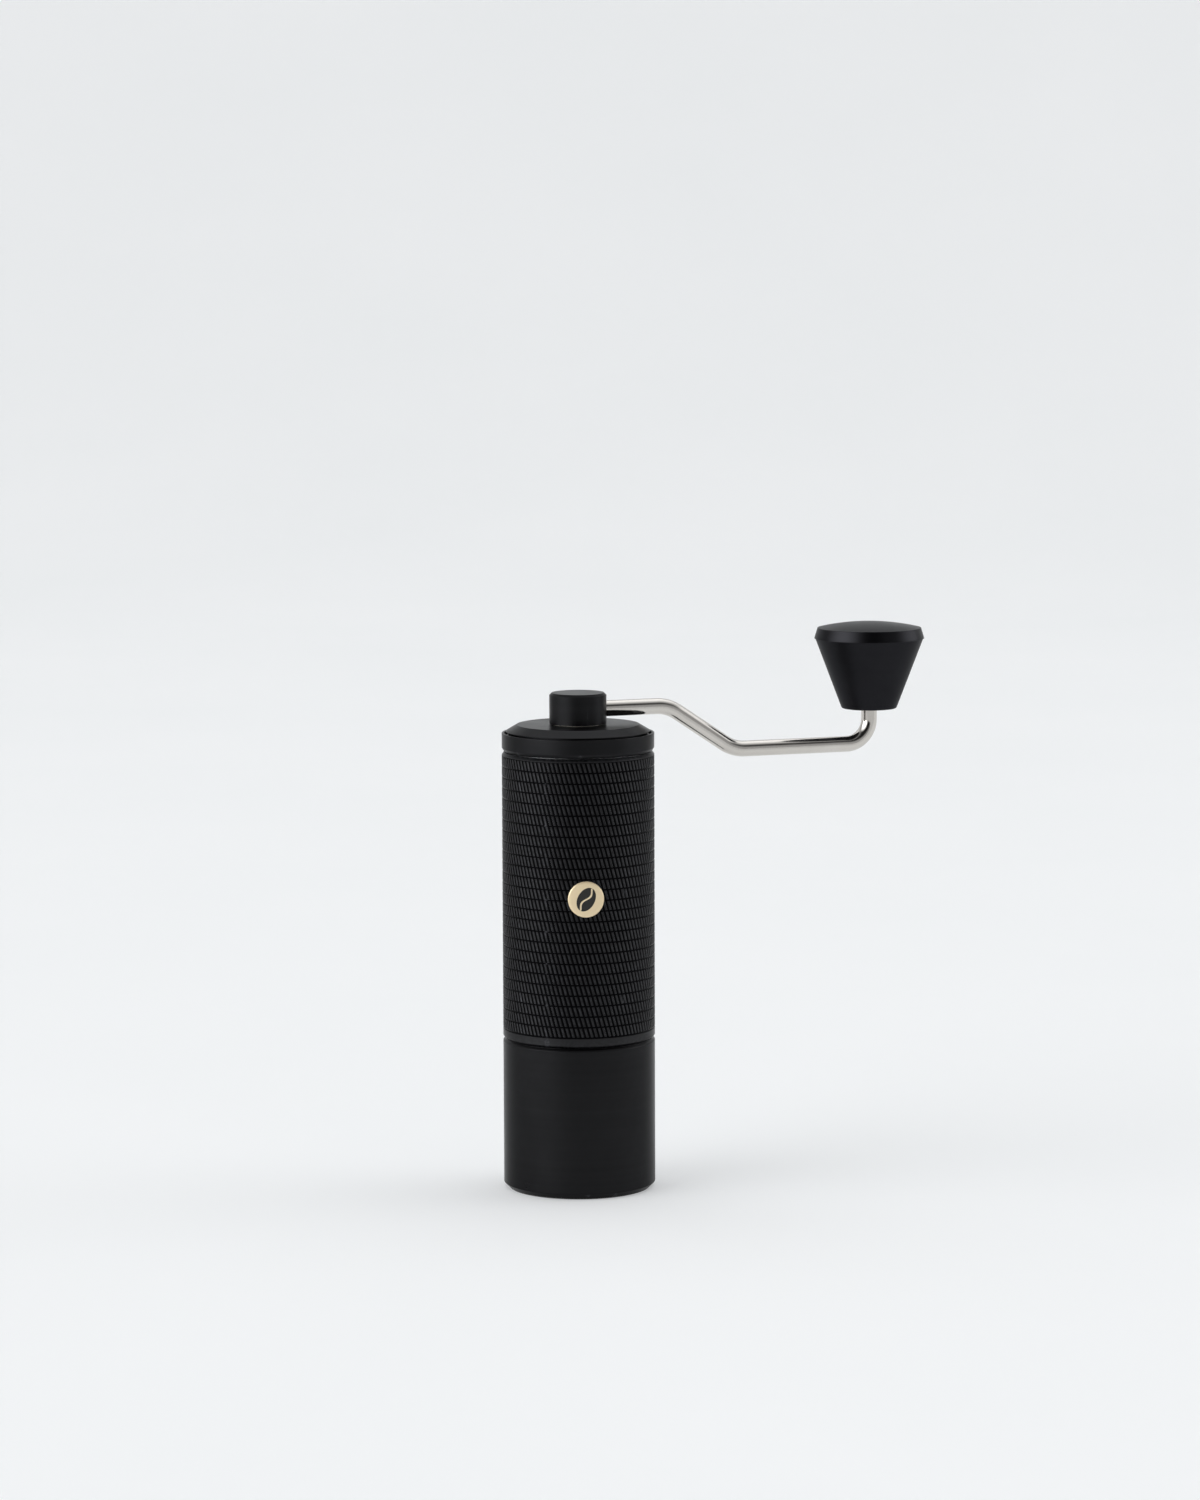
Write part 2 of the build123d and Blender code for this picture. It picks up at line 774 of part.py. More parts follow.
# ---------------------------------------------------------------- dial ring
click_low_radius = neck_radius + press_gap
click_high_radius = click_low_radius + click_width
click_circle = (click_low_radius + click_high_radius) / 2
dial_clip_high = index_low - seat_gap
dial_clip_low = dial_clip_high - circlip_height
dial_clip_seat = neck_radius - circlip_depth
pin_half_angle = degrees(atan2(stop_pin_radius, neck_bore))
lug_span = 360 - dial_up_travel - dial_down_travel - 2 * (pin_half_angle + stop_play)
lug_middle = stop_bearing + dial_up_travel + pin_half_angle + stop_play + lug_span / 2


def point_at(radius, bearing):
    """A point in the XY plane by its radius and bearing in degrees."""
    return (radius * cos(radians(bearing)), radius * sin(radians(bearing)))


with BuildPart() as adjustment_ring:
    revolve(
        outline(
            (neck_bore, neck_low),
            (neck_radius, neck_low),
            (neck_radius, dial_clip_low),
            (dial_clip_seat, dial_clip_low),
            (dial_clip_seat, dial_clip_high),
            (neck_radius, dial_clip_high),
            (neck_radius, dial_low + click_ring_thickness),
            (click_high_radius + press_gap, dial_low + click_ring_thickness),
            (click_high_radius + press_gap, dial_low),
            (throat_radius, dial_low),
            (body_radius, dial_low + dial_bevel),
            (body_radius, dial_top - lip_edge),
            (body_radius - lip_edge, dial_top),
            (lip_bore, dial_top),
            (lip_bore, shoulder),
            (neck_bore, shoulder),
        ),
        axis=Axis.Z,
    )
    with BuildSketch(Plane.XY.offset(neck_low - stop_lug_height)):
        Circle(neck_radius)
        Circle(neck_bore, mode=Mode.SUBTRACT)
        Polygon(
            (0, 0),
            point_at(2 * neck_radius, lug_middle - lug_span / 2),
            point_at(2 * neck_radius, lug_middle + lug_span / 2),
            align=None,
            mode=Mode.INTERSECT,
        )
    extrude(amount=stop_lug_height)
finish(adjustment_ring, "adjustment_ring")

with BuildPart() as click_ring:
    revolve(
        band(click_low_radius, click_high_radius, dial_low, dial_low + click_ring_thickness),
        axis=Axis.Z,
    )
    with Locations((0, 0, dial_low - click_radius / 2)):
        with PolarLocations(click_circle, click_count):
            Sphere(click_radius, mode=Mode.SUBTRACT)
finish(click_ring, "click_ring")

with BuildPart() as dial_circlip:
    clip_outer = neck_radius + dial_circlip_reach
    revolve(
        band(dial_clip_seat + press_gap, clip_outer, dial_clip_low + press_gap, dial_clip_high - press_gap),
        axis=Axis.Z,
    )
    with BuildSketch(Plane.XY.offset(dial_clip_low)):
        with Locations((neck_radius, 0)):
            Rectangle(4 * dial_circlip_reach, dial_circlip_slot)
    extrude(amount=circlip_height, mode=Mode.SUBTRACT)
finish(dial_circlip, "dial_circlip")


# ---------------------------------------------------------------- index ring and its detents
detent_hole_radius = detent_ball_radius + running_gap
detent_top = dial_low - press_gap
detent_low = detent_top - 2 * detent_ball_radius - detent_spring_length

with BuildPart() as index_ring:
    revolve(band(neck_radius + running_gap, core_radius, index_low, dial_low), axis=Axis.Z)
    with BuildSketch(Plane.XY.offset(detent_low)):
        with PolarLocations(click_circle, detent_count, start_angle=detent_turn):
            Circle(detent_hole_radius)
    extrude(amount=dial_low - detent_low, mode=Mode.SUBTRACT)
finish(index_ring, "index_ring")

with BuildPart() as detent_balls:
    with Locations((0, 0, detent_top - detent_ball_radius)):
        with PolarLocations(click_circle, detent_count, start_angle=detent_turn):
            Sphere(detent_ball_radius)
finish(detent_balls, "detent_balls")

with BuildPart() as detent_coil:
    with BuildLine():
        Helix(
            (detent_spring_length - detent_wire) / detent_coils,
            detent_spring_length - detent_wire,
            detent_coil_radius,
        )
    with BuildSketch(Plane((detent_coil_radius, 0, 0), z_dir=(0, 1, 0))):
        Circle(detent_wire / 2)
    sweep(is_frenet=True)

with BuildPart() as detent_springs:
    with Locations((0, 0, detent_low + detent_wire / 2)):
        with PolarLocations(click_circle, detent_count, start_angle=detent_turn):
            add(detent_coil.part)
finish(detent_springs, "detent_springs")


# ---------------------------------------------------------------- bearing carrier
carrier_hub_low = arm_low - carrier_hub_drop
rim_high = arm_top + carrier_rim_height
rim_radius = neck_bore - running_gap
rim_foot = arm_top - carrier_rim_sink
key_radius = chamber_radius + key_depth
arm_root = hub_wall_radius - bearing_hub_wall / 2

with BuildPart() as bearing_carrier:
    revolve(band(rim_radius - carrier_rim_width, rim_radius, rim_foot, rim_high), axis=Axis.Z)
    with BuildSketch(Plane.XY.offset(arm_low)):
        with PolarLocations((arm_root + key_radius) / 2, arm_count):
            Rectangle(key_radius - arm_root, carrier_arm_width)
    extrude(amount=carrier_arm_thickness)
    revolve(
        bearing_hub(carrier_hub_low, carrier_hub_low + carrier_hub_height, upper_bearing_low),
        axis=Axis.Z,
    )
finish(bearing_carrier, "bearing_carrier")

carrier_circlip = inside_circlip(upper_bearing_low)
finish(carrier_circlip, "carrier_circlip")


# ---------------------------------------------------------------- lid
lid_radius = lip_bore - lid_gap
spigot_radius = neck_bore - slip_gap
spigot_low = shoulder - spigot_drop
lid_seal_middle = (spigot_low + shoulder) / 2
lid_seal_half = lid_seal_thickness / 2
bush_bore = spindle_radius + running_gap
bush_radius = bush_bore + bush_wall
boss_low = lid_top - lid_boss_height

with BuildPart() as lid_shell:
    revolve(
        outline(
            (spigot_radius - spigot_wall, spigot_low),
            (spigot_radius, spigot_low),
            (spigot_radius, lid_seal_middle - lid_seal_half),
            (spigot_radius - seal_depth, lid_seal_middle - lid_seal_half),
            (spigot_radius - seal_depth, lid_seal_middle + lid_seal_half),
            (spigot_radius, lid_seal_middle + lid_seal_half),
            (spigot_radius, shoulder),
            (lid_radius, shoulder),
            (lid_radius, lid_top - lid_bevel_rise),
            (lid_radius - lid_bevel_run, lid_top),
            (bush_radius + press_gap, lid_top),
            (bush_radius + press_gap, boss_low),
            (lid_boss_radius, boss_low),
            (lid_boss_radius, lid_top - lid_skin),
            (spigot_radius - spigot_wall, lid_top - lid_skin),
        ),
        axis=Axis.Z,
    )
finish(lid_shell, "lid_shell")

with BuildPart() as lid_bush:
    revolve(band(bush_bore, bush_radius, boss_low, lid_top), axis=Axis.Z)
finish(lid_bush, "lid_bush")

with BuildPart() as thrust_washer:
    revolve(band(bush_bore, hub_radius - thrust_washer_inset, lid_top, hub_foot), axis=Axis.Z)
finish(thrust_washer, "thrust_washer")

with BuildPart() as lid_seal:
    revolve(
        outline(
            (spigot_radius - seal_depth + press_gap, lid_seal_middle - lid_seal_half + press_gap),
            (spigot_radius, lid_seal_middle - lid_seal_half + press_gap),
            (neck_bore - seal_gap, lid_seal_middle),
            (spigot_radius, lid_seal_middle + lid_seal_half - press_gap),
            (spigot_radius - seal_depth + press_gap, lid_seal_middle + lid_seal_half - press_gap),
        ),
        axis=Axis.Z,
    )
finish(lid_seal, "lid_seal")


# ---------------------------------------------------------------- crank hub and spindle
spindle_top = socket_top + spindle_roof
rod_height = spindle_top + rod_rest_gap + rod_radius
spindle_clip_high = boss_low - seat_gap
spindle_clip_low = spindle_clip_high - circlip_thickness
spindle_clip_seat = spindle_radius - circlip_depth
hub_screw_low = socket_top - hub_screw_head
rod_bore = rod_radius + press_gap

with BuildPart() as drive_socket:
    revolve(
        outline(
            (0, spindle_low),
            (spindle_radius, spindle_low),
            (spindle_radius, spindle_clip_low),
            (spindle_clip_seat, spindle_clip_low),
            (spindle_clip_seat, spindle_clip_high),
            (spindle_radius, spindle_clip_high),
            (spindle_radius, spindle_top),
            (0, spindle_top),
        ),
        axis=Axis.Z,
    )
    with BuildSketch(Plane.XY.offset(spindle_low)):
        RegularPolygon(hex_flat + hex_gap, 6, major_radius=False)
    extrude(amount=socket_depth, mode=Mode.SUBTRACT)
    with BuildSketch(Plane.XY.offset(spindle_low)):
        Circle(hub_screw_radius + press_gap)
    extrude(amount=spindle_top - spindle_low, mode=Mode.SUBTRACT)
finish(drive_socket, "drive_socket")

with BuildPart() as spindle_circlip:
    revolve(
        band(
            spindle_clip_seat + press_gap,
            bush_radius + spindle_clip_reach,
            spindle_clip_low + press_gap,
            spindle_clip_high - press_gap,
        ),
        axis=Axis.Z,
    )
    with BuildSketch(Plane.XY.offset(spindle_clip_low)):
        with Locations((-spindle_radius, 0)):
            Rectangle(spindle_radius, circlip_slot)
    extrude(amount=circlip_thickness, mode=Mode.SUBTRACT)
finish(spindle_circlip, "spindle_circlip")

with BuildPart() as hub_cap:
    revolve(
        outline(
            (0, hub_foot),
            (hub_radius, hub_foot),
            (hub_radius, hub_foot + hub_height - hub_bevel),
            (hub_radius - hub_bevel, hub_foot + hub_height),
            (0, hub_foot + hub_height),
        ),
        axis=Axis.Z,
    )
    with BuildSketch(Plane.XY.offset(hub_foot)):
        Circle(spindle_radius + press_gap)
    extrude(amount=spindle_top - hub_foot, mode=Mode.SUBTRACT)
    with BuildSketch(Plane.YZ.offset(-rod_bite)):
        with Locations((0, rod_height)):
            Circle(rod_bore)
    extrude(amount=rod_bite + hub_radius + cut_margin, mode=Mode.SUBTRACT)
    with BuildSketch(Plane.XY.offset(hub_foot)):
        Circle(hub_screw_radius + press_gap)
    extrude(amount=socket_top + hub_screw_length - hub_foot, mode=Mode.SUBTRACT)
finish(hub_cap, "hub_cap")

with BuildPart() as hub_screw:
    with BuildSketch(Plane.XY.offset(hub_screw_low)):
        Circle(hub_screw_head_radius)
    extrude(amount=hub_screw_head)
    with BuildSketch(Plane.XY.offset(socket_top)):
        Circle(hub_screw_radius)
    extrude(amount=hub_screw_length)
    with BuildSketch(Plane.XY.offset(hub_screw_low)):
        RegularPolygon(recess_share * hub_screw_radius, 6, major_radius=False)
    extrude(amount=hub_screw_head / 2, mode=Mode.SUBTRACT)
finish(hub_screw, "hub_screw")


# ---------------------------------------------------------------- crank rod
low_run = rod_height - rod_drop
knob_low = low_run + knob_bottom_lift
knob_seat = knob_low + knob_lip
knob_pocket_low = knob_seat + knob_bore_length
spindle_end = knob_pocket_low + seat_gap

with BuildPart() as crank_rod:
    with BuildLine():
        FilletPolyline(
            (-rod_bite, 0, rod_height),
            (first_bend_at, 0, rod_height),
            (second_bend_at, 0, low_run),
            (crank_radius, 0, low_run),
            (crank_radius, 0, knob_seat - seat_gap),
            radius=[crank_bend, crank_bend, elbow_bend],
        )
    with BuildSketch(Plane.YZ.offset(-rod_bite)):
        with Locations((0, rod_height)):
            Circle(rod_radius)
    sweep()
    with BuildSketch(Plane.XY.offset(knob_seat - seat_gap)):
        with Locations((crank_radius, 0)):
            Circle(knob_spindle_radius)
    extrude(amount=spindle_end - knob_seat + seat_gap)
    with BuildSketch(Plane.XY.offset(spindle_end)):
        with Locations((crank_radius, 0)):
            Circle(knob_screw_radius + press_gap)
    extrude(amount=-knob_screw_length - seat_gap, mode=Mode.SUBTRACT)
    with BuildSketch(Plane.XY.offset(hub_foot)):
        Circle(hub_screw_radius + press_gap)
    extrude(amount=socket_top + hub_screw_length - hub_foot, mode=Mode.SUBTRACT)
finish(crank_rod, "crank_rod")

washer_high = spindle_end + knob_washer_thickness

with BuildPart() as knob_washer:
    with BuildSketch(Plane.XY.offset(spindle_end)):
        with Locations((crank_radius, 0)):
            Circle(knob_washer_radius)
            Circle(knob_screw_radius + press_gap, mode=Mode.SUBTRACT)
    extrude(amount=knob_washer_thickness)
finish(knob_washer, "knob_washer")

with BuildPart() as knob_screw:
    with BuildSketch(Plane.XY.offset(washer_high)):
        with Locations((crank_radius, 0)):
            Circle(knob_screw_head_radius)
    extrude(amount=knob_screw_head)
    with BuildSketch(Plane.XY.offset(washer_high)):
        with Locations((crank_radius, 0)):
            Circle(knob_screw_radius)
    extrude(amount=-knob_washer_thickness - knob_screw_length)
    with BuildSketch(Plane.XY.offset(washer_high + knob_screw_head)):
        with Locations((crank_radius, 0)):
            RegularPolygon(recess_share * knob_screw_radius, 6, major_radius=False)
    extrude(amount=-knob_screw_head / 2, mode=Mode.SUBTRACT)
finish(knob_screw, "knob_screw")


# ---------------------------------------------------------------- knob
knob_axis = Axis((crank_radius, 0, 0), (0, 0, 1))
knob_wide = knob_low + knob_cone_height
knob_bore = knob_spindle_radius + running_gap + knob_bush_wall + press_gap
cap_seat_radius = knob_wide_radius - knob_cap_rim
cap_spigot_low = knob_wide - knob_cap_spigot
cap_edge = knob_wide + knob_cap_height


def on_knob(*points):
    """A closed outline of (radius, height) points measured from the knob's own axis."""
    return outline(*[(crank_radius + radius, height) for radius, height in points])


with BuildPart() as knob_shell:
    revolve(
        on_knob(
            (rod_radius + slip_gap, knob_low),
            (knob_bottom_radius, knob_low),
            (knob_wide_radius - knob_seam, knob_wide),
            (cap_seat_radius, knob_wide),
            (cap_seat_radius, cap_spigot_low - seat_gap),
            (knob_pocket_radius, cap_spigot_low - seat_gap),
            (knob_pocket_radius, knob_pocket_low),
            (knob_bore, knob_pocket_low),
            (knob_bore, knob_seat),
            (rod_radius + slip_gap, knob_seat),
        ),
        axis=knob_axis,
    )
    bottom_edges = edges().filter_by(GeomType.CIRCLE).group_by(Axis.Z)[0]
    fillet(bottom_edges.sort_by(SortBy.RADIUS)[-1], knob_edge_radius)
finish(knob_shell, "knob_shell")

with BuildPart() as knob_cap:
    with BuildSketch(Plane.XZ):
        with BuildLine():
            crown = TangentArc(
                (crank_radius, cap_edge + knob_dome),
                (crank_radius + knob_cap_radius, cap_edge),
                tangent=(1, 0),
            )
            Polyline(
                crown @ 1,
                (crank_radius + knob_wide_radius, knob_wide),
                (crank_radius + cap_seat_radius - press_gap, knob_wide),
                (crank_radius + cap_seat_radius - press_gap, cap_spigot_low),
                (crank_radius, cap_spigot_low),
                crown @ 0,
            )
        make_face()
    revolve(axis=knob_axis)
finish(knob_cap, "knob_cap")

for place, bush_low in (("lower", knob_seat), ("upper", knob_pocket_low - knob_bush_length)):
    with BuildPart() as knob_bush:
        with BuildSketch(Plane.XY.offset(bush_low)):
            with Locations((crank_radius, 0)):
                Circle(knob_bore - press_gap)
                Circle(knob_spindle_radius + running_gap, mode=Mode.SUBTRACT)
        extrude(amount=knob_bush_length)
    finish(knob_bush, f"knob_bush_{place}")
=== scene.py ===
"""A hand crank coffee grinder: its finishes and its finely detailed shells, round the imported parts."""

import json
from math import cos, pi, radians, sin, sqrt, tan

import bmesh
import bpy
from mathutils import Matrix, Vector


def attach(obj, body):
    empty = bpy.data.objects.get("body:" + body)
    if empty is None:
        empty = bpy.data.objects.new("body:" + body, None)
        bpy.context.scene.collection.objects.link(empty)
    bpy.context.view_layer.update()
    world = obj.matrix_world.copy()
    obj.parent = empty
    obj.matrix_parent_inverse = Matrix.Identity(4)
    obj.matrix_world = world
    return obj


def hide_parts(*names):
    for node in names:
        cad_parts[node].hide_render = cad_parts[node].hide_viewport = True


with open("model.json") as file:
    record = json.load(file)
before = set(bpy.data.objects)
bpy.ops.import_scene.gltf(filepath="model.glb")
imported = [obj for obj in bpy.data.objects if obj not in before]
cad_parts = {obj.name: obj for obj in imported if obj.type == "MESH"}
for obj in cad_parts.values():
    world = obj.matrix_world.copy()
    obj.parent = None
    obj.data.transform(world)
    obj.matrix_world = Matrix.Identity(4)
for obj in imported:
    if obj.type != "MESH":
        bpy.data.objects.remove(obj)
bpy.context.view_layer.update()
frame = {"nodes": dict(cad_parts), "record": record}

scene = bpy.context.scene

# ---------------------------------------------------------------- sizes, in millimetres
MM = 0.001
body_radius = 26.0
cup_joint = 51.9
sleeve_top = 150.4
sleeve_bore = 24.0
throat_radius = 25.25
throat_bevel = 1.0
crank_radius = 107.6
rod_radius = 2.75
rod_height = 164.6
rod_start = -5.5
low_run = 148.6
rod_bore = 2.77
screw_bore = 1.52
screw_top = 167.6
socket_bore = 6.02
socket_top = 161.8
under_hub = 158.0
badge_height = 103.0
badge_bearing = radians(-104.0)
badge_radius = 6.15
badge_face = 26.15
badge_seat = 24.9
badge_gap = 0.06
drill_margin = 2.0


# ---------------------------------------------------------------- node helpers
def add_node(tree, kind, **values):
    """One node, with its properties and its unlinked inputs set by name or by place."""
    node = tree.nodes.new(kind)
    for key, value in values.items():
        if key == "inputs":
            for socket, content in value.items():
                if isinstance(content, bpy.types.NodeSocket):
                    tree.links.new(content, node.inputs[socket])
                else:
                    node.inputs[socket].default_value = content
        else:
            setattr(node, key, value)
    return node


def sums(tree, operation, first, second=0.0, third=0.0):
    """The result of a Math node on numbers or sockets."""
    return add_node(
        tree, "ShaderNodeMath", operation=operation, inputs={0: first, 1: second, 2: third}
    ).outputs[0]


def new_group(name, inputs, outputs):
    """An empty shader group with named sockets: inputs are {name: default}, outputs are names."""
    group = bpy.data.node_groups.new(name, "ShaderNodeTree")
    for label, default in inputs.items():
        kind = "NodeSocketVector" if isinstance(default, tuple) else "NodeSocketFloat"
        socket = group.interface.new_socket(label, in_out="INPUT", socket_type=kind)
        socket.default_value = default
    for label in outputs:
        group.interface.new_socket(label, in_out="OUTPUT", socket_type="NodeSocketFloat")
    return group, group.nodes.new("NodeGroupInput"), group.nodes.new("NodeGroupOutput")


def make_turning_marks():
    """Fine rings left by a lathe: they follow the height and the distance from the axis."""
    group, given, result = new_group(
        "turning marks", {"Axis": (0.0, 0.0, 0.0), "Rings": 9000.0}, ("Shade", "Height")
    )
    place = add_node(group, "ShaderNodeTexCoord").outputs["Object"]
    moved = add_node(
        group, "ShaderNodeVectorMath", operation="SUBTRACT", inputs={0: place, 1: given.outputs["Axis"]}
    ).outputs[0]
    split = add_node(group, "ShaderNodeSeparateXYZ", inputs={0: moved}).outputs
    square = sums(group, "MULTIPLY_ADD", split[0], split[0], sums(group, "MULTIPLY", split[1], split[1]))
    away = sums(group, "SQRT", square)
    rings = add_node(group, "ShaderNodeCombineXYZ", inputs={0: away, 1: 0.0, 2: split[2]}).outputs[0]
    marks = add_node(
        group,
        "ShaderNodeTexNoise",
        inputs={"Vector": rings, "Scale": given.outputs["Rings"], "Detail": 2.0, "Roughness": 0.6},
    ).outputs["Fac"]
    bands = add_node(
        group, "ShaderNodeTexNoise", inputs={"Vector": rings, "Scale": 420.0, "Detail": 3.0}
    ).outputs["Fac"]
    shade = sums(group, "MULTIPLY_ADD", marks, 0.5, sums(group, "MULTIPLY", bands, 0.5))
    group.links.new(shade, result.inputs["Shade"])
    group.links.new(marks, result.inputs["Height"])
    return group


def make_blasted_grain():
    """The even grain of a blasted or moulded skin, and the soft patches that handling leaves."""
    group, given, result = new_group(
        "blasted grain", {"Grains": 7000.0, "Patches": 60.0}, ("Speckle", "Patch", "Height")
    )
    place = add_node(group, "ShaderNodeTexCoord").outputs["Object"]
    grain = add_node(
        group, "ShaderNodeTexNoise", inputs={"Vector": place, "Scale": given.outputs["Grains"], "Detail": 1.5}
    ).outputs["Fac"]
    patch = add_node(
        group,
        "ShaderNodeTexNoise",
        inputs={"Vector": place, "Scale": given.outputs["Patches"], "Detail": 4.0, "Roughness": 0.55},
    ).outputs["Fac"]
    group.links.new(grain, result.inputs["Speckle"])
    group.links.new(patch, result.inputs["Patch"])
    group.links.new(grain, result.inputs["Height"])
    return group


def make_edge_wear():
    """Where corners stand out and rub: a broken mask along the convex edges."""
    group, given, result = new_group("edge wear", {"Start": 0.53, "Full": 0.62}, ("Mask",))
    sharpness = add_node(group, "ShaderNodeNewGeometry").outputs["Pointiness"]
    place = add_node(group, "ShaderNodeTexCoord").outputs["Object"]
    edge = add_node(
        group,
        "ShaderNodeMapRange",
        interpolation_type="SMOOTHSTEP",
        inputs={"Value": sharpness, "From Min": given.outputs["Start"], "From Max": given.outputs["Full"]},
    ).outputs[0]
    chips = add_node(
        group, "ShaderNodeTexNoise", inputs={"Vector": place, "Scale": 900.0, "Detail": 3.0}
    ).outputs["Fac"]
    broken = add_node(
        group, "ShaderNodeMapRange", inputs={"Value": chips, "From Min": 0.35, "From Max": 0.65}
    ).outputs[0]
    group.links.new(sums(group, "MULTIPLY", edge, broken), result.inputs["Mask"])
    return group


turning_marks = make_turning_marks()
blasted_grain = make_blasted_grain()
edge_wear = make_edge_wear()


# ---------------------------------------------------------------- finishes
def use_group(tree, group, **inputs):
    """The outputs of a group placed in a tree, with its inputs set by name."""
    node = tree.nodes.new("ShaderNodeGroup")
    node.node_tree = group
    for label, value in inputs.items():
        node.inputs[label].default_value = value
    return node.outputs


def mixed(tree, factor, first, second):
    """Two colours mixed by a factor between 0 and 1."""
    node = tree.nodes.new("ShaderNodeMix")
    node.data_type = "RGBA"
    tree.links.new(factor, node.inputs[0])
    for place, colour in ((6, first), (7, second)):
        if isinstance(colour, bpy.types.NodeSocket):
            tree.links.new(colour, node.inputs[place])
        else:
            node.inputs[place].default_value = (*colour, 1)
    return node.outputs[2]


def spread(tree, value, low, high):
    """A noise value, mostly between 0.3 and 0.7, stretched over a range."""
    return add_node(
        tree,
        "ShaderNodeMapRange",
        inputs={"Value": value, "From Min": 0.3, "From Max": 0.7, "To Min": low, "To Max": high},
    ).outputs[0]


def new_finish(
    name,
    dark,
    light,
    roughness,
    metallic=0.0,
    rings=9000.0,
    ring_depth=0.0,
    grains=7000.0,
    grain_depth=0.0,
    edge=None,
    axis=(0.0, 0.0, 0.0),
    tint=1.0,
    specular=0.5,
    painted_recess_shade=None,
):
    """A finish whose colour, roughness and relief vary with the grain, the turning marks and the wear; where
    asked, painted shade darkens its colour in the recesses.
    """
    material = bpy.data.materials.new(name)
    material.use_nodes = True
    tree = material.node_tree
    shader = tree.nodes["Principled BSDF"]
    marks = use_group(tree, turning_marks, Axis=axis, Rings=rings)
    grain = use_group(tree, blasted_grain, Grains=grains)
    ring_share = 0.7 if ring_depth else 0.25
    speckles = sums(tree, "MULTIPLY", grain["Speckle"], 0.3 - ring_share * 0.4)
    patches = sums(tree, "MULTIPLY_ADD", grain["Patch"], 0.7 - ring_share * 0.6, speckles)
    mottle = sums(tree, "MULTIPLY_ADD", marks["Shade"], ring_share, patches)
    colour = mixed(tree, spread(tree, mottle, 0.0, 1.0), dark, light)
    # painted shade: below a given radius the colour darkens to a shade colour, as if the valleys lay in
    # shadow
    if painted_recess_shade:
        low, high, deep = painted_recess_shade
        place = add_node(tree, "ShaderNodeTexCoord").outputs["Object"]
        flat = add_node(
            tree, "ShaderNodeVectorMath", operation="MULTIPLY", inputs={0: place, 1: (1.0, 1.0, 0.0)}
        ).outputs[0]
        away = add_node(tree, "ShaderNodeVectorMath", operation="LENGTH", inputs={0: flat}).outputs["Value"]
        crest = add_node(
            tree, "ShaderNodeMapRange", inputs={"Value": away, "From Min": low * MM, "From Max": high * MM}
        ).outputs[0]
        colour = mixed(tree, crest, deep, colour)
    if edge:
        colour = mixed(tree, use_group(tree, edge_wear)["Mask"], colour, edge)
    tree.links.new(colour, shader.inputs["Base Color"])
    tree.links.new(spread(tree, grain["Patch"], *roughness), shader.inputs["Roughness"])
    shader.inputs["Metallic"].default_value = metallic
    shader.inputs["Specular IOR Level"].default_value = specular
    shader.inputs["Specular Tint"].default_value = (tint, tint, tint, 1)
    normal = None
    for depth, height in ((ring_depth, marks["Height"]), (grain_depth, grain["Height"])):
        if depth:
            relief = {"Strength": 1.0, "Distance": depth * MM, "Height": height}
            bump = add_node(tree, "ShaderNodeBump", inputs=relief)
            if normal:
                tree.links.new(normal, bump.inputs["Normal"])
            normal = bump.outputs[0]
    if normal:
        tree.links.new(normal, shader.inputs["Normal"])
    return material


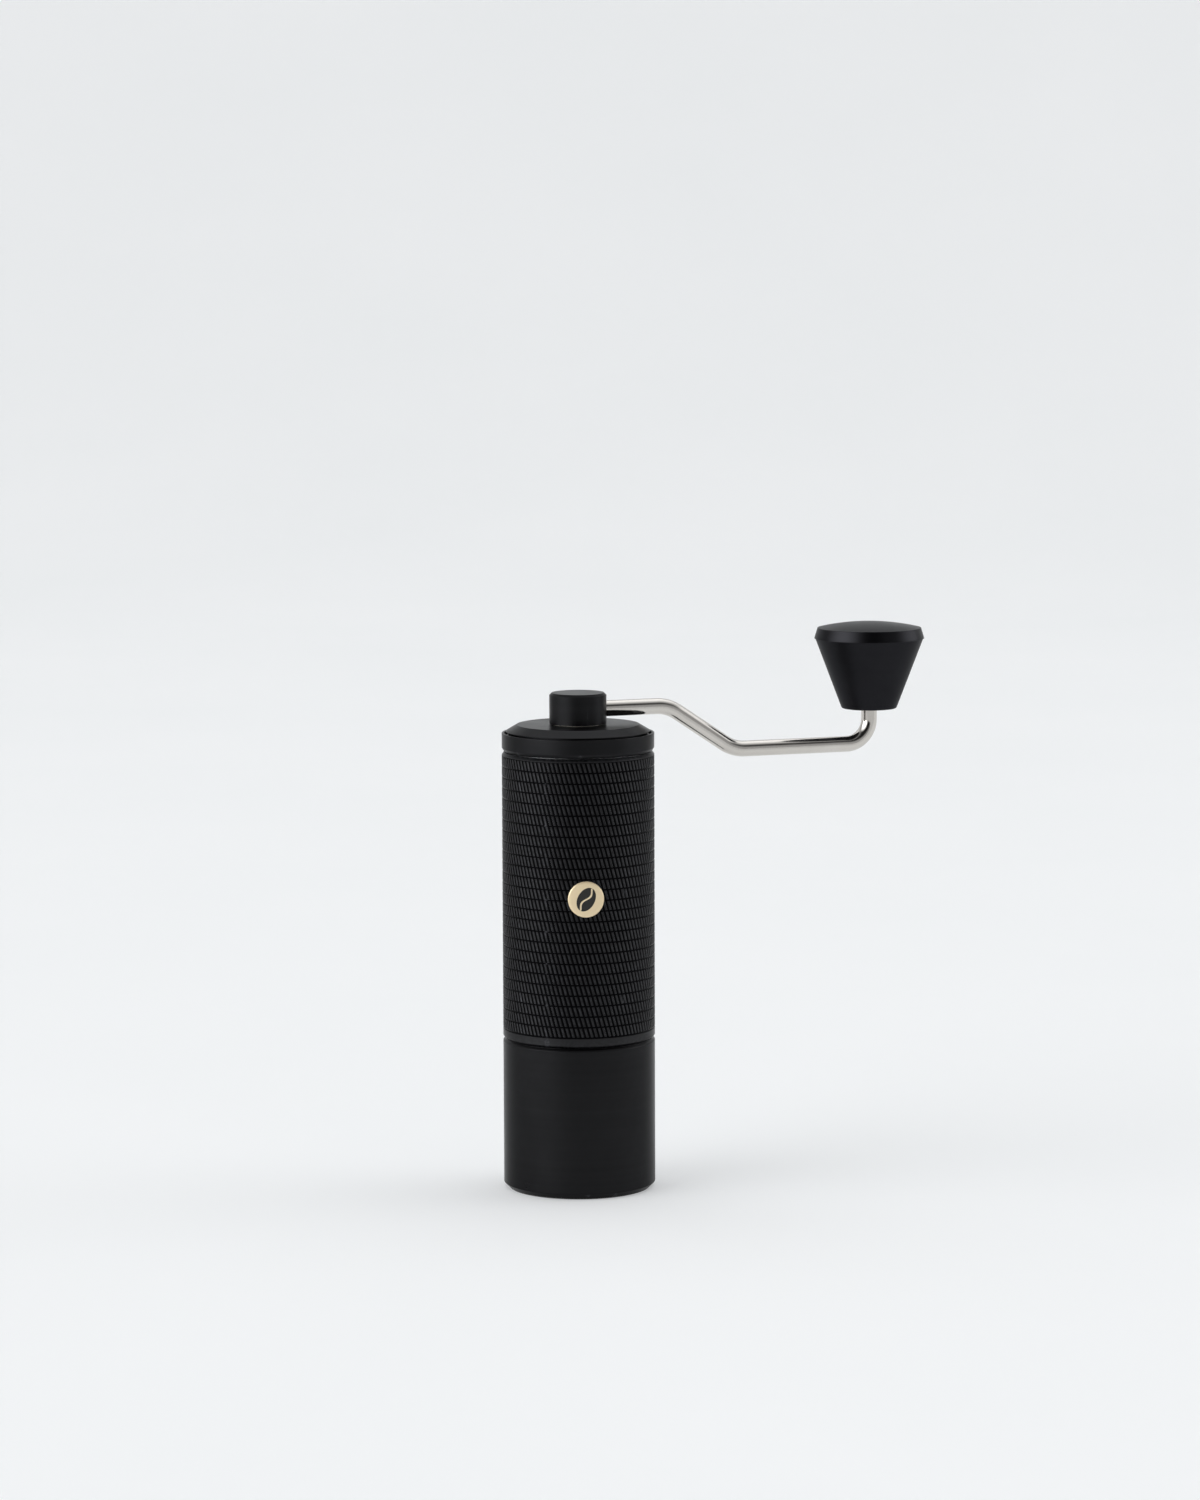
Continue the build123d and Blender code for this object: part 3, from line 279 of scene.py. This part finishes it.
knob_axis = (crank_radius * MM, 0.0, 0.0)
black = dict(metallic=1.0, tint=0.68, edge=(0.055, 0.056, 0.06))
finishes = {
    "black_anodised": new_finish(
        "black anodised aluminium", (0.0138, 0.0138, 0.0146), (0.0202, 0.0202, 0.0212), (0.27, 0.34),
        ring_depth=0.0016, grain_depth=0.0022, **black
    ),
    "ribbed_anodised": new_finish(
        "black anodised ribs", (0.021, 0.021, 0.022), (0.031, 0.031, 0.032), (0.27, 0.34),
        # painted shade: the rib valleys, inside 25.95 mm, darken towards a near black shade colour
        grain_depth=0.002, painted_recess_shade=(25.7, 25.95, (0.004, 0.004, 0.0045)), **black
    ),
    "knob_black": new_finish(
        "black knob lacquer", (0.0145, 0.0145, 0.0165), (0.021, 0.021, 0.0238), (0.38, 0.46),
        grain_depth=0.003, axis=knob_axis, **black
    ),
    "cap_black": new_finish(
        "black turned cap", (0.016, 0.016, 0.0175), (0.023, 0.023, 0.0255), (0.30, 0.36),
        ring_depth=0.0012, axis=knob_axis, **black
    ),
    "badge_brass": new_finish(
        "satin brass", (0.84, 0.67, 0.42), (0.95, 0.79, 0.53), (0.30, 0.40), metallic=0.45,
        grains=9000.0, grain_depth=0.004, edge=(0.80, 0.71, 0.52)
    ),
    "engraving": new_finish(
        "engraving enamel", (0.008, 0.008, 0.007), (0.016, 0.015, 0.013), (0.45, 0.6), grain_depth=0.003
    ),
    "polished_steel": new_finish(
        "polished stainless steel", (0.56, 0.53, 0.49), (0.66, 0.635, 0.60), (0.10, 0.17), metallic=1.0,
        grains=2500.0, grain_depth=0.0006
    ),
    "rubber_black": new_finish(
        "black rubber", (0.014, 0.014, 0.014), (0.026, 0.026, 0.026), (0.68, 0.82), grain_depth=0.012
    ),
    "chamber_steel": new_finish(
        "turned stainless steel", (0.42, 0.42, 0.41), (0.58, 0.58, 0.57), (0.24, 0.36), metallic=1.0,
        ring_depth=0.004, rings=6000.0, edge=(0.75, 0.75, 0.74)
    ),
    "burr_steel": new_finish(
        "ground burr steel", (0.32, 0.32, 0.33), (0.46, 0.46, 0.47), (0.26, 0.4), metallic=1.0,
        ring_depth=0.003, grain_depth=0.002, edge=(0.7, 0.7, 0.72)
    ),
    "machined_aluminium": new_finish(
        "machined aluminium", (0.48, 0.49, 0.50), (0.64, 0.65, 0.66), (0.28, 0.4), metallic=1.0,
        ring_depth=0.004, rings=5000.0, edge=(0.82, 0.83, 0.84)
    ),
    "bearing_steel": new_finish(
        "bearing steel", (0.55, 0.55, 0.56), (0.68, 0.68, 0.69), (0.10, 0.2), metallic=1.0,
        ring_depth=0.0015, edge=(0.8, 0.8, 0.8)
    ),
    "cage_polymer": new_finish(
        "cage polymer", (0.55, 0.53, 0.46), (0.66, 0.64, 0.57), (0.45, 0.6), grain_depth=0.006
    ),
    "fastener_steel": new_finish(
        "plain fastener steel", (0.36, 0.36, 0.36), (0.5, 0.5, 0.5), (0.25, 0.4), metallic=1.0,
        grain_depth=0.004, edge=(0.7, 0.7, 0.7)
    ),
    "spring_steel": new_finish(
        "spring steel", (0.26, 0.26, 0.27), (0.4, 0.4, 0.41), (0.28, 0.42), metallic=1.0, grain_depth=0.003
    ),
    "magnet": new_finish(
        "nickel plate", (0.52, 0.51, 0.49), (0.66, 0.65, 0.62), (0.14, 0.24), metallic=1.0,
        grain_depth=0.002, edge=(0.8, 0.79, 0.76)
    ),
}


# ---------------------------------------------------------------- mesh helpers
smooth_bend = radians(12)


def new_piece(name, mesh, body, node, slot, *materials):
    """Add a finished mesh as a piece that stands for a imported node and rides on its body."""
    piece = bpy.data.objects.new(name, mesh)
    scene.collection.objects.link(piece)
    for material in materials:
        mesh.materials.append(material)
    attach(piece, body)
    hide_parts(node)
    return piece


def rounded(outline, size, steps=4):
    """A closed outline in millimetres with its corners rounded, as (point, normal) pairs.

    The outline runs anticlockwise round the solid's section, so a normal points out of it. A third
    number in a corner is that corner's own rounding.
    """
    result = []
    count = len(outline)
    for index in range(count):
        here = Vector(outline[index][:2])
        corner = outline[index][2] if len(outline[index]) > 2 else size
        to_here = here - Vector(outline[index - 1][:2])
        from_here = Vector(outline[(index + 1) % count][:2]) - here
        before, after = to_here.normalized(), from_here.normalized()
        normal_in = Vector((before.y, -before.x))
        normal_out = Vector((after.y, -after.x))
        bend = before.angle_signed(after, 0.0)
        if here.x < 1e-6:
            flat = normal_out if abs(before.x) < abs(after.x) else normal_in
            result.append((here, flat))
            continue
        if abs(bend) < smooth_bend:
            result.append((here, (normal_in + normal_out).normalized()))
            continue
        reach = min(corner * tan(abs(bend) / 2), 0.4 * to_here.length, 0.4 * from_here.length)
        for step in range(steps + 1):
            part = step / steps
            near, far = here - before * reach, here + after * reach
            point = near * (1 - part) ** 2 + here * 2 * part * (1 - part) + far * part**2
            normal = (normal_in * (1 - part) + normal_out * part).normalized()
            result.append((point, normal))
    return result


def turned(name, outline, rounding=0.2, axis=0.0, segments=240):
    """A turned shell's mesh: a rounded outline taken once round an axis, with exact normals."""
    line = rounded(outline, rounding)
    points, normals, rows = [], [], []
    for (radius, height), (out, up) in line:
        row = []
        if radius < 1e-6:
            row = [len(points)] * segments
            points.append((axis * MM, 0.0, height * MM))
            normals.append((0.0, 0.0, 1.0 if up > 0 else -1.0))
        else:
            for step in range(segments):
                turn = 2 * pi * step / segments
                row.append(len(points))
                points.append(((axis + radius * cos(turn)) * MM, radius * sin(turn) * MM, height * MM))
                normals.append((out * cos(turn), out * sin(turn), up))
        rows.append(row)
    faces = []
    for index, row in enumerate(rows):
        following = rows[(index + 1) % len(rows)]
        if row[0] == row[1] and following[0] == following[1]:
            continue
        for step in range(segments):
            ahead = (step + 1) % segments
            corners = (row[step], row[ahead], following[ahead], following[step])
            faces.append(tuple(dict.fromkeys(corners)))
    mesh = bpy.data.meshes.new(name)
    mesh.from_pydata(points, [], faces)
    mesh.polygons.foreach_set("use_smooth", [True] * len(faces))
    mesh.normals_split_custom_set_from_vertices(normals)
    return mesh


def drilled(mesh, holes, sharp=30):
    """The mesh with round holes cut in it, each given by its two ends and its radius in millimetres."""
    blank = bpy.data.objects.new("blank", mesh)
    scene.collection.objects.link(blank)
    drills = []
    for start, end, radius in holes:
        start, end = Vector(start) * MM, Vector(end) * MM
        aim = (end - start).to_track_quat("Z", "Y").to_matrix().to_4x4()
        place = Matrix.Translation((start + end) / 2) @ aim
        shape = bmesh.new()
        bmesh.ops.create_cone(
            shape, cap_ends=True, segments=120, radius1=radius * MM, radius2=radius * MM,
            depth=(end - start).length, matrix=place
        )
        drill_mesh = bpy.data.meshes.new("drill")
        shape.to_mesh(drill_mesh)
        shape.free()
        drills.append(bpy.data.objects.new("drill", drill_mesh))
        scene.collection.objects.link(drills[-1])
        cut = blank.modifiers.new("hole", "BOOLEAN")
        cut.operation, cut.object, cut.solver = "DIFFERENCE", drills[-1], "MANIFOLD"
    done = bpy.data.meshes.new_from_object(blank.evaluated_get(bpy.context.evaluated_depsgraph_get()))
    for piece in (blank, *drills):
        bpy.data.objects.remove(piece)
    done.name = mesh.name
    done.materials.clear()
    done.polygons.foreach_set("use_smooth", [True] * len(done.polygons))
    done.set_sharp_from_angle(angle=radians(sharp))
    return done


# ---------------------------------------------------------------- ribbed sleeve
ribs = 104
rib_lean = radians(15.8)
rib_depth = 0.3
row_count = 26
row_pitch = 3.6
rows_low = 55.5
row_edge = 0.14
crease_angle = 28
rib_section = ((0.0, 0.12), (0.05, 0.0), (0.44, 0.0), (0.49, 0.12), (0.58, 1.0), (0.91, 1.0))
row_section = ((0.0, 1.0), (0.38, 1.0), (0.52, 0.0), (3.48, 0.0))


def build_sleeve():
    """The grip: slanted ribs in rows with a fine groove between each row and the next."""
    levels = [(sleeve_bore, cup_joint, None), (throat_radius, cup_joint, None)]
    levels += [(body_radius, cup_joint + throat_bevel, None), (body_radius, rows_low - row_edge, None)]
    for row in range(row_count):
        for rise, cut in row_section:
            levels.append((body_radius, rows_low + row * row_pitch + rise, cut))
    rows_high = rows_low + row_count * row_pitch
    levels += [(body_radius, rows_high, 1.0), (body_radius, rows_high + row_edge, None)]
    levels += [(body_radius, sleeve_top - throat_bevel, None), (throat_radius, sleeve_top, None)]
    levels += [(sleeve_bore, sleeve_top, None)]
    around = ribs * len(rib_section)
    points, faces = [], []
    for radius, height, cut in levels:
        slide = tan(rib_lean) * (height - rows_low) / body_radius
        for rib in range(ribs):
            for share, depth in rib_section:
                turn = 2 * pi * (rib + share) / ribs - slide
                deep = 0.0 if cut is None else rib_depth * max(cut, depth)
                points.append(
                    ((radius - deep) * cos(turn) * MM, (radius - deep) * sin(turn) * MM, height * MM)
                )
    for level in range(len(levels)):
        first, second = level * around, (level + 1) % len(levels) * around
        for step in range(around):
            ahead = (step + 1) % around
            faces.append((first + step, first + ahead, second + ahead, second + step))
    mesh = bpy.data.meshes.new("ribbed_sleeve")
    mesh.from_pydata(points, [], faces)
    mesh.polygons.foreach_set("use_smooth", [True] * len(faces))
    mesh.set_sharp_from_angle(angle=radians(crease_angle))
    return mesh


outward = Vector((cos(badge_bearing), sin(badge_bearing), 0))
badge_centre = Vector((0, 0, badge_height))
badge_pocket = (
    badge_centre + outward * badge_seat,
    badge_centre + outward * (body_radius + drill_margin),
    badge_radius + badge_gap,
)
new_piece(
    "ribbed_sleeve", drilled(build_sleeve(), [badge_pocket], crease_angle), "housing", "outer_sleeve",
    "black_anodised", finishes["ribbed_anodised"]
)


# ---------------------------------------------------------------- badge
bean_length, bean_width = 4.25, 2.95
bean_tilt = radians(-28)
crease_half = 0.34
crease_swing = 0.95
engraved_depth = 0.16
rows_of_bean = 72
floor_steps = 6
bean_wall = 0.04
flat_rim = 0.5
badge_crease_angle = 40


def build_badge():
    """A domed brass disc with a coffee bean sunk in it, its two halves parted by a raised, curved crease."""
    mesh = bpy.data.meshes.new("brass_badge")
    shape = bmesh.new()
    made = {}

    def point(across, along, depth):
        key = (round(across, 5), round(along, 5), round(depth, 5))
        if key not in made:
            ahead = sqrt((badge_face - depth) ** 2 - across**2)
            made[key] = shape.verts.new(
                (
                    (ahead * cos(badge_bearing) - across * sin(badge_bearing)) * MM,
                    (ahead * sin(badge_bearing) + across * cos(badge_bearing)) * MM,
                    (badge_height + along) * MM,
                )
            )
        return made[key]

    def on_bean(across, along, depth):
        return point(
            across * cos(bean_tilt) - along * sin(bean_tilt),
            across * sin(bean_tilt) + along * cos(bean_tilt),
            depth,
        )

    def face(corners, inked=False):
        corners = list(dict.fromkeys(corners))
        if len(corners) > 2:
            made_face = shape.faces.new(corners)
            made_face.smooth, made_face.material_index = True, int(inked)

    def loop(half_width, half_length, depth):
        """An oval's points, from its foot up the right side and down the left."""
        turns = [pi * step / rows_of_bean for step in range(2 * rows_of_bean)]
        return [on_bean(half_width * sin(turn), -half_length * cos(turn), depth) for turn in turns]

    def band_between(first, second, inked=False):
        for step in range(len(first)):
            ahead = (step + 1) % len(first)
            face((first[step], first[ahead], second[ahead], second[step]), inked)

    outer_oval = loop(bean_width, bean_length, 0.0)
    ring_lines = [
        (badge_radius, 0.85), (badge_radius, 0.34), (badge_radius - 0.08, 0.16),
        (badge_radius - 0.26, 0.04), (badge_radius - flat_rim, 0.0),
    ]
    rings = [loop(radius, radius, depth) for radius, depth in ring_lines]
    for part in (0.25, 0.5, 0.75):
        rim_share = (badge_radius - flat_rim) * (1 - part)
        rings.append(loop(rim_share + bean_width * part, rim_share + bean_length * part, 0.0))
    rings.append(outer_oval)
    for first, second in zip(rings, rings[1:]):
        band_between(first, second)
    floor_width, floor_length = bean_width - bean_wall, bean_length - bean_wall
    band_between(outer_oval, loop(floor_width, floor_length, engraved_depth), True)

    def crease_row(row):
        """The points across one row of the bean: its left floor, its raised crease and its right floor."""
        turn = pi * row / rows_of_bean
        half, along = floor_width * sin(turn), -floor_length * cos(turn)
        middle = crease_swing * sin(pi * along / floor_length) * sin(turn)
        gap = min(crease_half, 0.3 * half)
        inset = 0.1 * gap
        low, high = engraved_depth, 0.0
        shares = [part / floor_steps for part in range(floor_steps + 1)]
        left = [on_bean(-half + (middle - gap + half) * share, along, low) for share in shares]
        right = [on_bean(middle + gap + (half - middle - gap) * share, along, low) for share in shares]
        top = [on_bean(middle + side * (gap - inset), along, high) for side in (-1, 0, 1)]
        return left, top, right

    rows = [crease_row(row) for row in range(rows_of_bean + 1)]
    for (left, top, right), (left_up, top_up, right_up) in zip(rows, rows[1:]):
        for line, line_up, inked in ((left, left_up, True), (top, top_up, False), (right, right_up, True)):
            for step in range(len(line) - 1):
                face((line[step], line[step + 1], line_up[step + 1], line_up[step]), inked)
        face((left[-1], top[0], top_up[0], left_up[-1]), True)
        face((top[2], right[0], right_up[0], top_up[2]), True)
    shape.faces.new(list(reversed(rings[0])))
    shape.normal_update()
    bmesh.ops.recalc_face_normals(shape, faces=shape.faces)
    shape.to_mesh(mesh)
    shape.free()
    mesh.set_sharp_from_angle(angle=radians(badge_crease_angle))
    return mesh


new_piece(
    "brass_badge", build_badge(), "housing", "badge", "badge_brass", finishes["badge_brass"],
    finishes["engraving"]
)


# ---------------------------------------------------------------- turned shells
cup_outline = [
    (0, 1.2), (24.2, 1.2), (24.2, 0.4), (24.5, 0.4), (26.0, 1.9), (26.0, 51.0), (25.2, 51.8),
    (25.2, 51.9), (23.4, 51.9), (23.4, 42.4), (22.9, 42.4), (22.9, 4.9), (20.9, 2.9), (0, 2.9),
]
dial_outline = [
    (20.0, 141.0), (21.5, 141.0), (21.5, 143.9), (21.1, 143.9), (21.1, 144.9), (21.5, 144.9),
    (21.5, 151.8), (24.14, 151.8), (24.14, 150.6), (25.25, 150.6), (26.0, 151.8), (26.0, 156.8, 0.18),
    (25.1, 156.8, 0.1), (25.1, 153.0), (20.0, 153.0),
]
lid_outline = [
    (17.6, 149.5), (19.7, 149.5), (19.7, 150.55), (18.8, 150.55), (18.8, 151.95), (19.7, 151.95),
    (19.7, 153.0), (24.45, 153.0), (24.45, 156.0), (23.7, 156.2, 0.05), (23.7, 157.15, 0.05),
    (24.6, 157.25, 0.03), (24.6, 157.4, 0.05), (20.9, 159.6), (7.47, 159.6), (7.47, 153.6),
    (10.0, 153.6), (10.0, 156.6), (17.6, 156.6),
]
hub_outline = [(0, 159.9), (9.75, 159.9), (9.75, 169.6), (8.95, 170.4), (0, 170.4)]
grip_outline = [
    (3.05, 160.8), (9.5, 160.8, 0.9), (18.75, 185.2, 0.08), (15.0, 185.2), (15.0, 183.3), (7.0, 183.3),
    (7.0, 177.2), (3.92, 177.2), (3.92, 161.8), (3.05, 161.8),
]
dome_radius, dome_top, cap_radius, dome_steps = 78.2, 191.0, 18.0, 12
dome = [cap_radius * (1 - step / dome_steps) for step in range(1, dome_steps + 1)]
cap_outline = [(0, 183.4), (14.98, 183.4), (14.98, 185.2), (19.1, 185.2, 0.1), (cap_radius, 188.9, 0.15)]
cap_outline += [(away, dome_top - dome_radius + sqrt(dome_radius**2 - away**2)) for away in dome]
hub_holes = [
    ((0, 0, under_hub), (0, 0, socket_top), socket_bore),
    ((0, 0, under_hub), (0, 0, screw_top), screw_bore),
    ((rod_start, 0, rod_height), (12.0, 0, rod_height), rod_bore),
]
plain, knob, crown = finishes["black_anodised"], finishes["knob_black"], finishes["cap_black"]

for name, body, node, slot, finish, outline, rounding, axis, holes in (
    ("cup_shell", "cup", "catch_cup", "black_anodised", plain, cup_outline, 0.25, 0.0, []),
    ("dial_shell", "dial", "adjustment_ring", "black_anodised", plain, dial_outline, 0.15, 0.0, []),
    ("lid_cover", "lid", "lid_shell", "black_anodised", plain, lid_outline, 0.15, 0.0, []),
    ("crank_hub", "crank", "hub_cap", "black_anodised", plain, hub_outline, 0.12, 0.0, hub_holes),
    ("knob_grip", "knob", "knob_shell", "knob_black", knob, grip_outline, 0.1, crank_radius, []),
    ("knob_crown", "knob", "knob_cap", "knob_black", crown, cap_outline, 0.1, crank_radius, []),
):
    shell = turned(name, outline, rounding, axis)
    new_piece(name, drilled(shell, holes) if holes else shell, body, node, slot, finish)


# ---------------------------------------------------------------- crank rod
rod_corners = (
    (rod_start, rod_height), (32.7, rod_height), (56.8, low_run), (crank_radius, low_run),
    (crank_radius, 161.5)
)
rod_bends = (13.5, 13.5, 8.5)
knob_pin = ((0.0, 2.25), (15.4, 2.25), (15.8, 1.9), (15.8, screw_bore), (9.7, screw_bore))


def rod_line():
    """The rod's middle line as (x, z) points and headings: straight runs joined by round bends."""
    corners = [Vector(corner) for corner in rod_corners]
    line = [(corners[0], (corners[1] - corners[0]).normalized())]
    for index, bend in enumerate(rod_bends, start=1):
        before = (corners[index] - corners[index - 1]).normalized()
        after = (corners[index + 1] - corners[index]).normalized()
        turn = before.angle_signed(after, 0.0)
        reach = bend * tan(abs(turn) / 2)
        start = corners[index] - before * reach
        side = Vector((-before.y, before.x)) * (-1 if turn > 0 else 1)
        centre = start + side * bend
        steps = max(8, round(abs(turn) / radians(2.5)))
        for step in range(steps + 1):
            part = Matrix.Rotation(-turn * step / steps, 2)
            line.append((centre + part @ (start - centre), (part @ before).normalized()))
    line.append((corners[-1], (corners[-1] - corners[-2]).normalized()))
    return line


def build_rod():
    """The bent rod, with the thinner turned end that the knob spins on and its screw hole."""
    line = [(point, heading, rod_radius) for point, heading in rod_line()]
    end, up = line[-1][0], Vector((0, 1))
    line += [(end + up * rise, up, radius) for rise, radius in knob_pin]
    around = 64
    points, faces = [], []
    for place, heading, radius in line:
        for step in range(around):
            turn = 2 * pi * step / around
            out = Vector((-heading.y, heading.x)) * cos(turn) * radius
            points.append(((place.x + out.x) * MM, sin(turn) * radius * MM, (place.y + out.y) * MM))
    for row in range(len(line) - 1):
        for step in range(around):
            ahead = (step + 1) % around
            first, second = row * around, (row + 1) * around
            faces.append((first + step, first + ahead, second + ahead, second + step))
    faces.append(tuple(range(around))[::-1])
    last = (len(line) - 1) * around
    faces.append(tuple(range(last, last + around)))
    mesh = bpy.data.meshes.new("bent_rod")
    mesh.from_pydata(points, [], faces)
    shape = bmesh.new()
    shape.from_mesh(mesh)
    bmesh.ops.recalc_face_normals(shape, faces=shape.faces)
    shape.to_mesh(mesh)
    shape.free()
    return mesh


new_piece(
    "bent_rod", drilled(build_rod(), [((0, 0, 159.0), (0, 0, screw_top), screw_bore)]), "crank", "crank_rod",
    "polished_steel", finishes["polished_steel"]
)

for entry in frame["record"]["subparts"]:
    node = frame["nodes"][entry["node"]]
    node.data.materials.clear()
    node.data.materials.append(finishes[entry["material_slot"]])


# ---------------------------------------------------------------- studio
view_heading = radians(-19.66)
camera_away, camera_height = 1.6243, 0.3392
camera_turn, camera_drop, camera_roll = radians(0.264), radians(6.621), radians(-0.203)


def place_camera(heading):
    """The camera stands to the left of the front and a little above the lid, on a long lens."""
    data = bpy.data.cameras.new("camera")
    data.lens, data.sensor_width = 115.2, 36.0
    data.clip_start, data.clip_end = 0.05, 50.0
    camera = bpy.data.objects.new("camera", data)
    scene.collection.objects.link(camera)
    turn = Matrix.Rotation(heading - camera_turn, 4, "Z")
    turn @= Matrix.Rotation(pi / 2 - camera_drop, 4, "X")
    turn @= Matrix.Rotation(camera_roll, 4, "Z")
    place = (camera_away * sin(heading), -camera_away * cos(heading), camera_height)
    camera.matrix_world = Matrix.Translation(place) @ turn
    scene.camera = camera


# where the floor's painted shade starts, where it is full, and how much of the colour it takes
shade_start, shade_full, shade_share = -0.1, -0.45, 0.3
paper_glow = 0.31


def build_cyclorama(heading):
    """A pale floor that curves up into the wall behind the object.

    In front of the object it carries painted shade: darker to every ray but the camera's.
    """
    front, wall, bend, top, half_width, bend_steps = -4.0, 4.2, 2.0, 5.0, 7.0, 24
    line = [(front, 0.0)]
    for step in range(bend_steps + 1):
        turn = pi / 2 * step / bend_steps
        line.append((wall - bend + bend * sin(turn), bend - bend * cos(turn)))
    line.append((wall, top))
    points = [(side, back, up) for back, up in line for side in (-half_width, half_width)]
    faces = [(2 * row, 2 * row + 1, 2 * row + 3, 2 * row + 2) for row in range(len(line) - 1)]
    mesh = bpy.data.meshes.new("floor")
    mesh.from_pydata(points, [], faces)
    mesh.polygons.foreach_set("use_smooth", [True] * len(faces))
    floor = bpy.data.objects.new("floor", mesh)
    floor.rotation_euler = (0, 0, heading)
    scene.collection.objects.link(floor)
    paper = bpy.data.materials.new("studio paper")
    paper.use_nodes = True
    tree = paper.node_tree
    shader = tree.nodes["Principled BSDF"]
    patch = use_group(tree, blasted_grain, Grains=900.0, Patches=3.0)["Patch"]
    tone = mixed(tree, spread(tree, patch, 0.0, 1.0), (0.63, 0.638, 0.638), (0.65, 0.654, 0.654))
    place = add_node(tree, "ShaderNodeTexCoord").outputs["Object"]
    ahead = add_node(tree, "ShaderNodeSeparateXYZ", inputs={0: place}).outputs[1]
    shade = add_node(
        tree,
        "ShaderNodeMapRange",
        interpolation_type="SMOOTHSTEP",
        inputs={
            "Value": ahead, "From Min": shade_start, "From Max": shade_full, "To Min": 0.0,
            "To Max": shade_share,
        },
    ).outputs[0]
    seen = add_node(tree, "ShaderNodeLightPath").outputs["Is Camera Ray"]
    share = sums(tree, "MULTIPLY", shade, sums(tree, "SUBTRACT", 1.0, seen))
    # painted shade: the floor in front fades towards near black for every ray but the camera's
    tree.links.new(mixed(tree, share, tone, (0.02, 0.02, 0.02)), shader.inputs["Base Color"])
    for label, value in (
        ("Roughness", 0.5),
        ("Specular IOR Level", 0.0),
        ("Emission Color", (0.97, 0.985, 1.0, 1)),
        ("Emission Strength", paper_glow),
    ):
        shader.inputs[label].default_value = value
    mesh.materials.append(paper)


room_glow = 0.02
seen_glow = 0.93
# bearing and lift in degrees, closeness where it starts and where it is full, falloff, strength
soft_lights = (
    (165, 0, -0.35, 1.0, 1.2, 1.05),
    (-62, 8, 0.7, 0.985, 1.5, 4.3),
    (98, 8, 0.8, 0.985, 1.5, 2.2),
    (42, 6, 0.86, 0.985, 1.0, 0.45),
    (180, 68, 0.4, 0.98, 1.5, 1.05),
)


def light_the_room(heading):
    """A dim room with five soft lights round it: behind, left, right, right front and high behind.

    The camera's own rays see one plain pale tone in place of it.
    """
    world = bpy.data.worlds.new("studio")
    world.use_nodes = True
    tree = world.node_tree
    towards = add_node(tree, "ShaderNodeTexCoord").outputs["Generated"]

    def lobe(bearing, lift, low, high, power, amount):
        """Light that grows from one closeness to a direction to another."""
        turn, rise = heading + radians(bearing), radians(lift)
        centre = (sin(turn) * cos(rise), -cos(turn) * cos(rise), sin(rise))
        near = add_node(
            tree, "ShaderNodeVectorMath", operation="DOT_PRODUCT", inputs={0: towards, 1: centre}
        ).outputs["Value"]
        share = add_node(
            tree, "ShaderNodeMapRange", inputs={"Value": near, "From Min": low, "From Max": high}
        ).outputs[0]
        return sums(tree, "MULTIPLY", sums(tree, "POWER", share, power), amount)

    total = room_glow
    for light in soft_lights:
        total = sums(tree, "ADD", total, lobe(*light))
    seen = add_node(tree, "ShaderNodeLightPath").outputs["Is Camera Ray"]
    shown = sums(tree, "MULTIPLY_ADD", seen, sums(tree, "SUBTRACT", seen_glow, total), total)
    tree.nodes["Background"].inputs["Color"].default_value = (0.975, 0.985, 1.0, 1)
    tree.links.new(shown, tree.nodes["Background"].inputs["Strength"])
    scene.world = world
    scene.view_settings.view_transform = "Standard"


place_camera(view_heading)
light_the_room(view_heading)
build_cyclorama(view_heading)
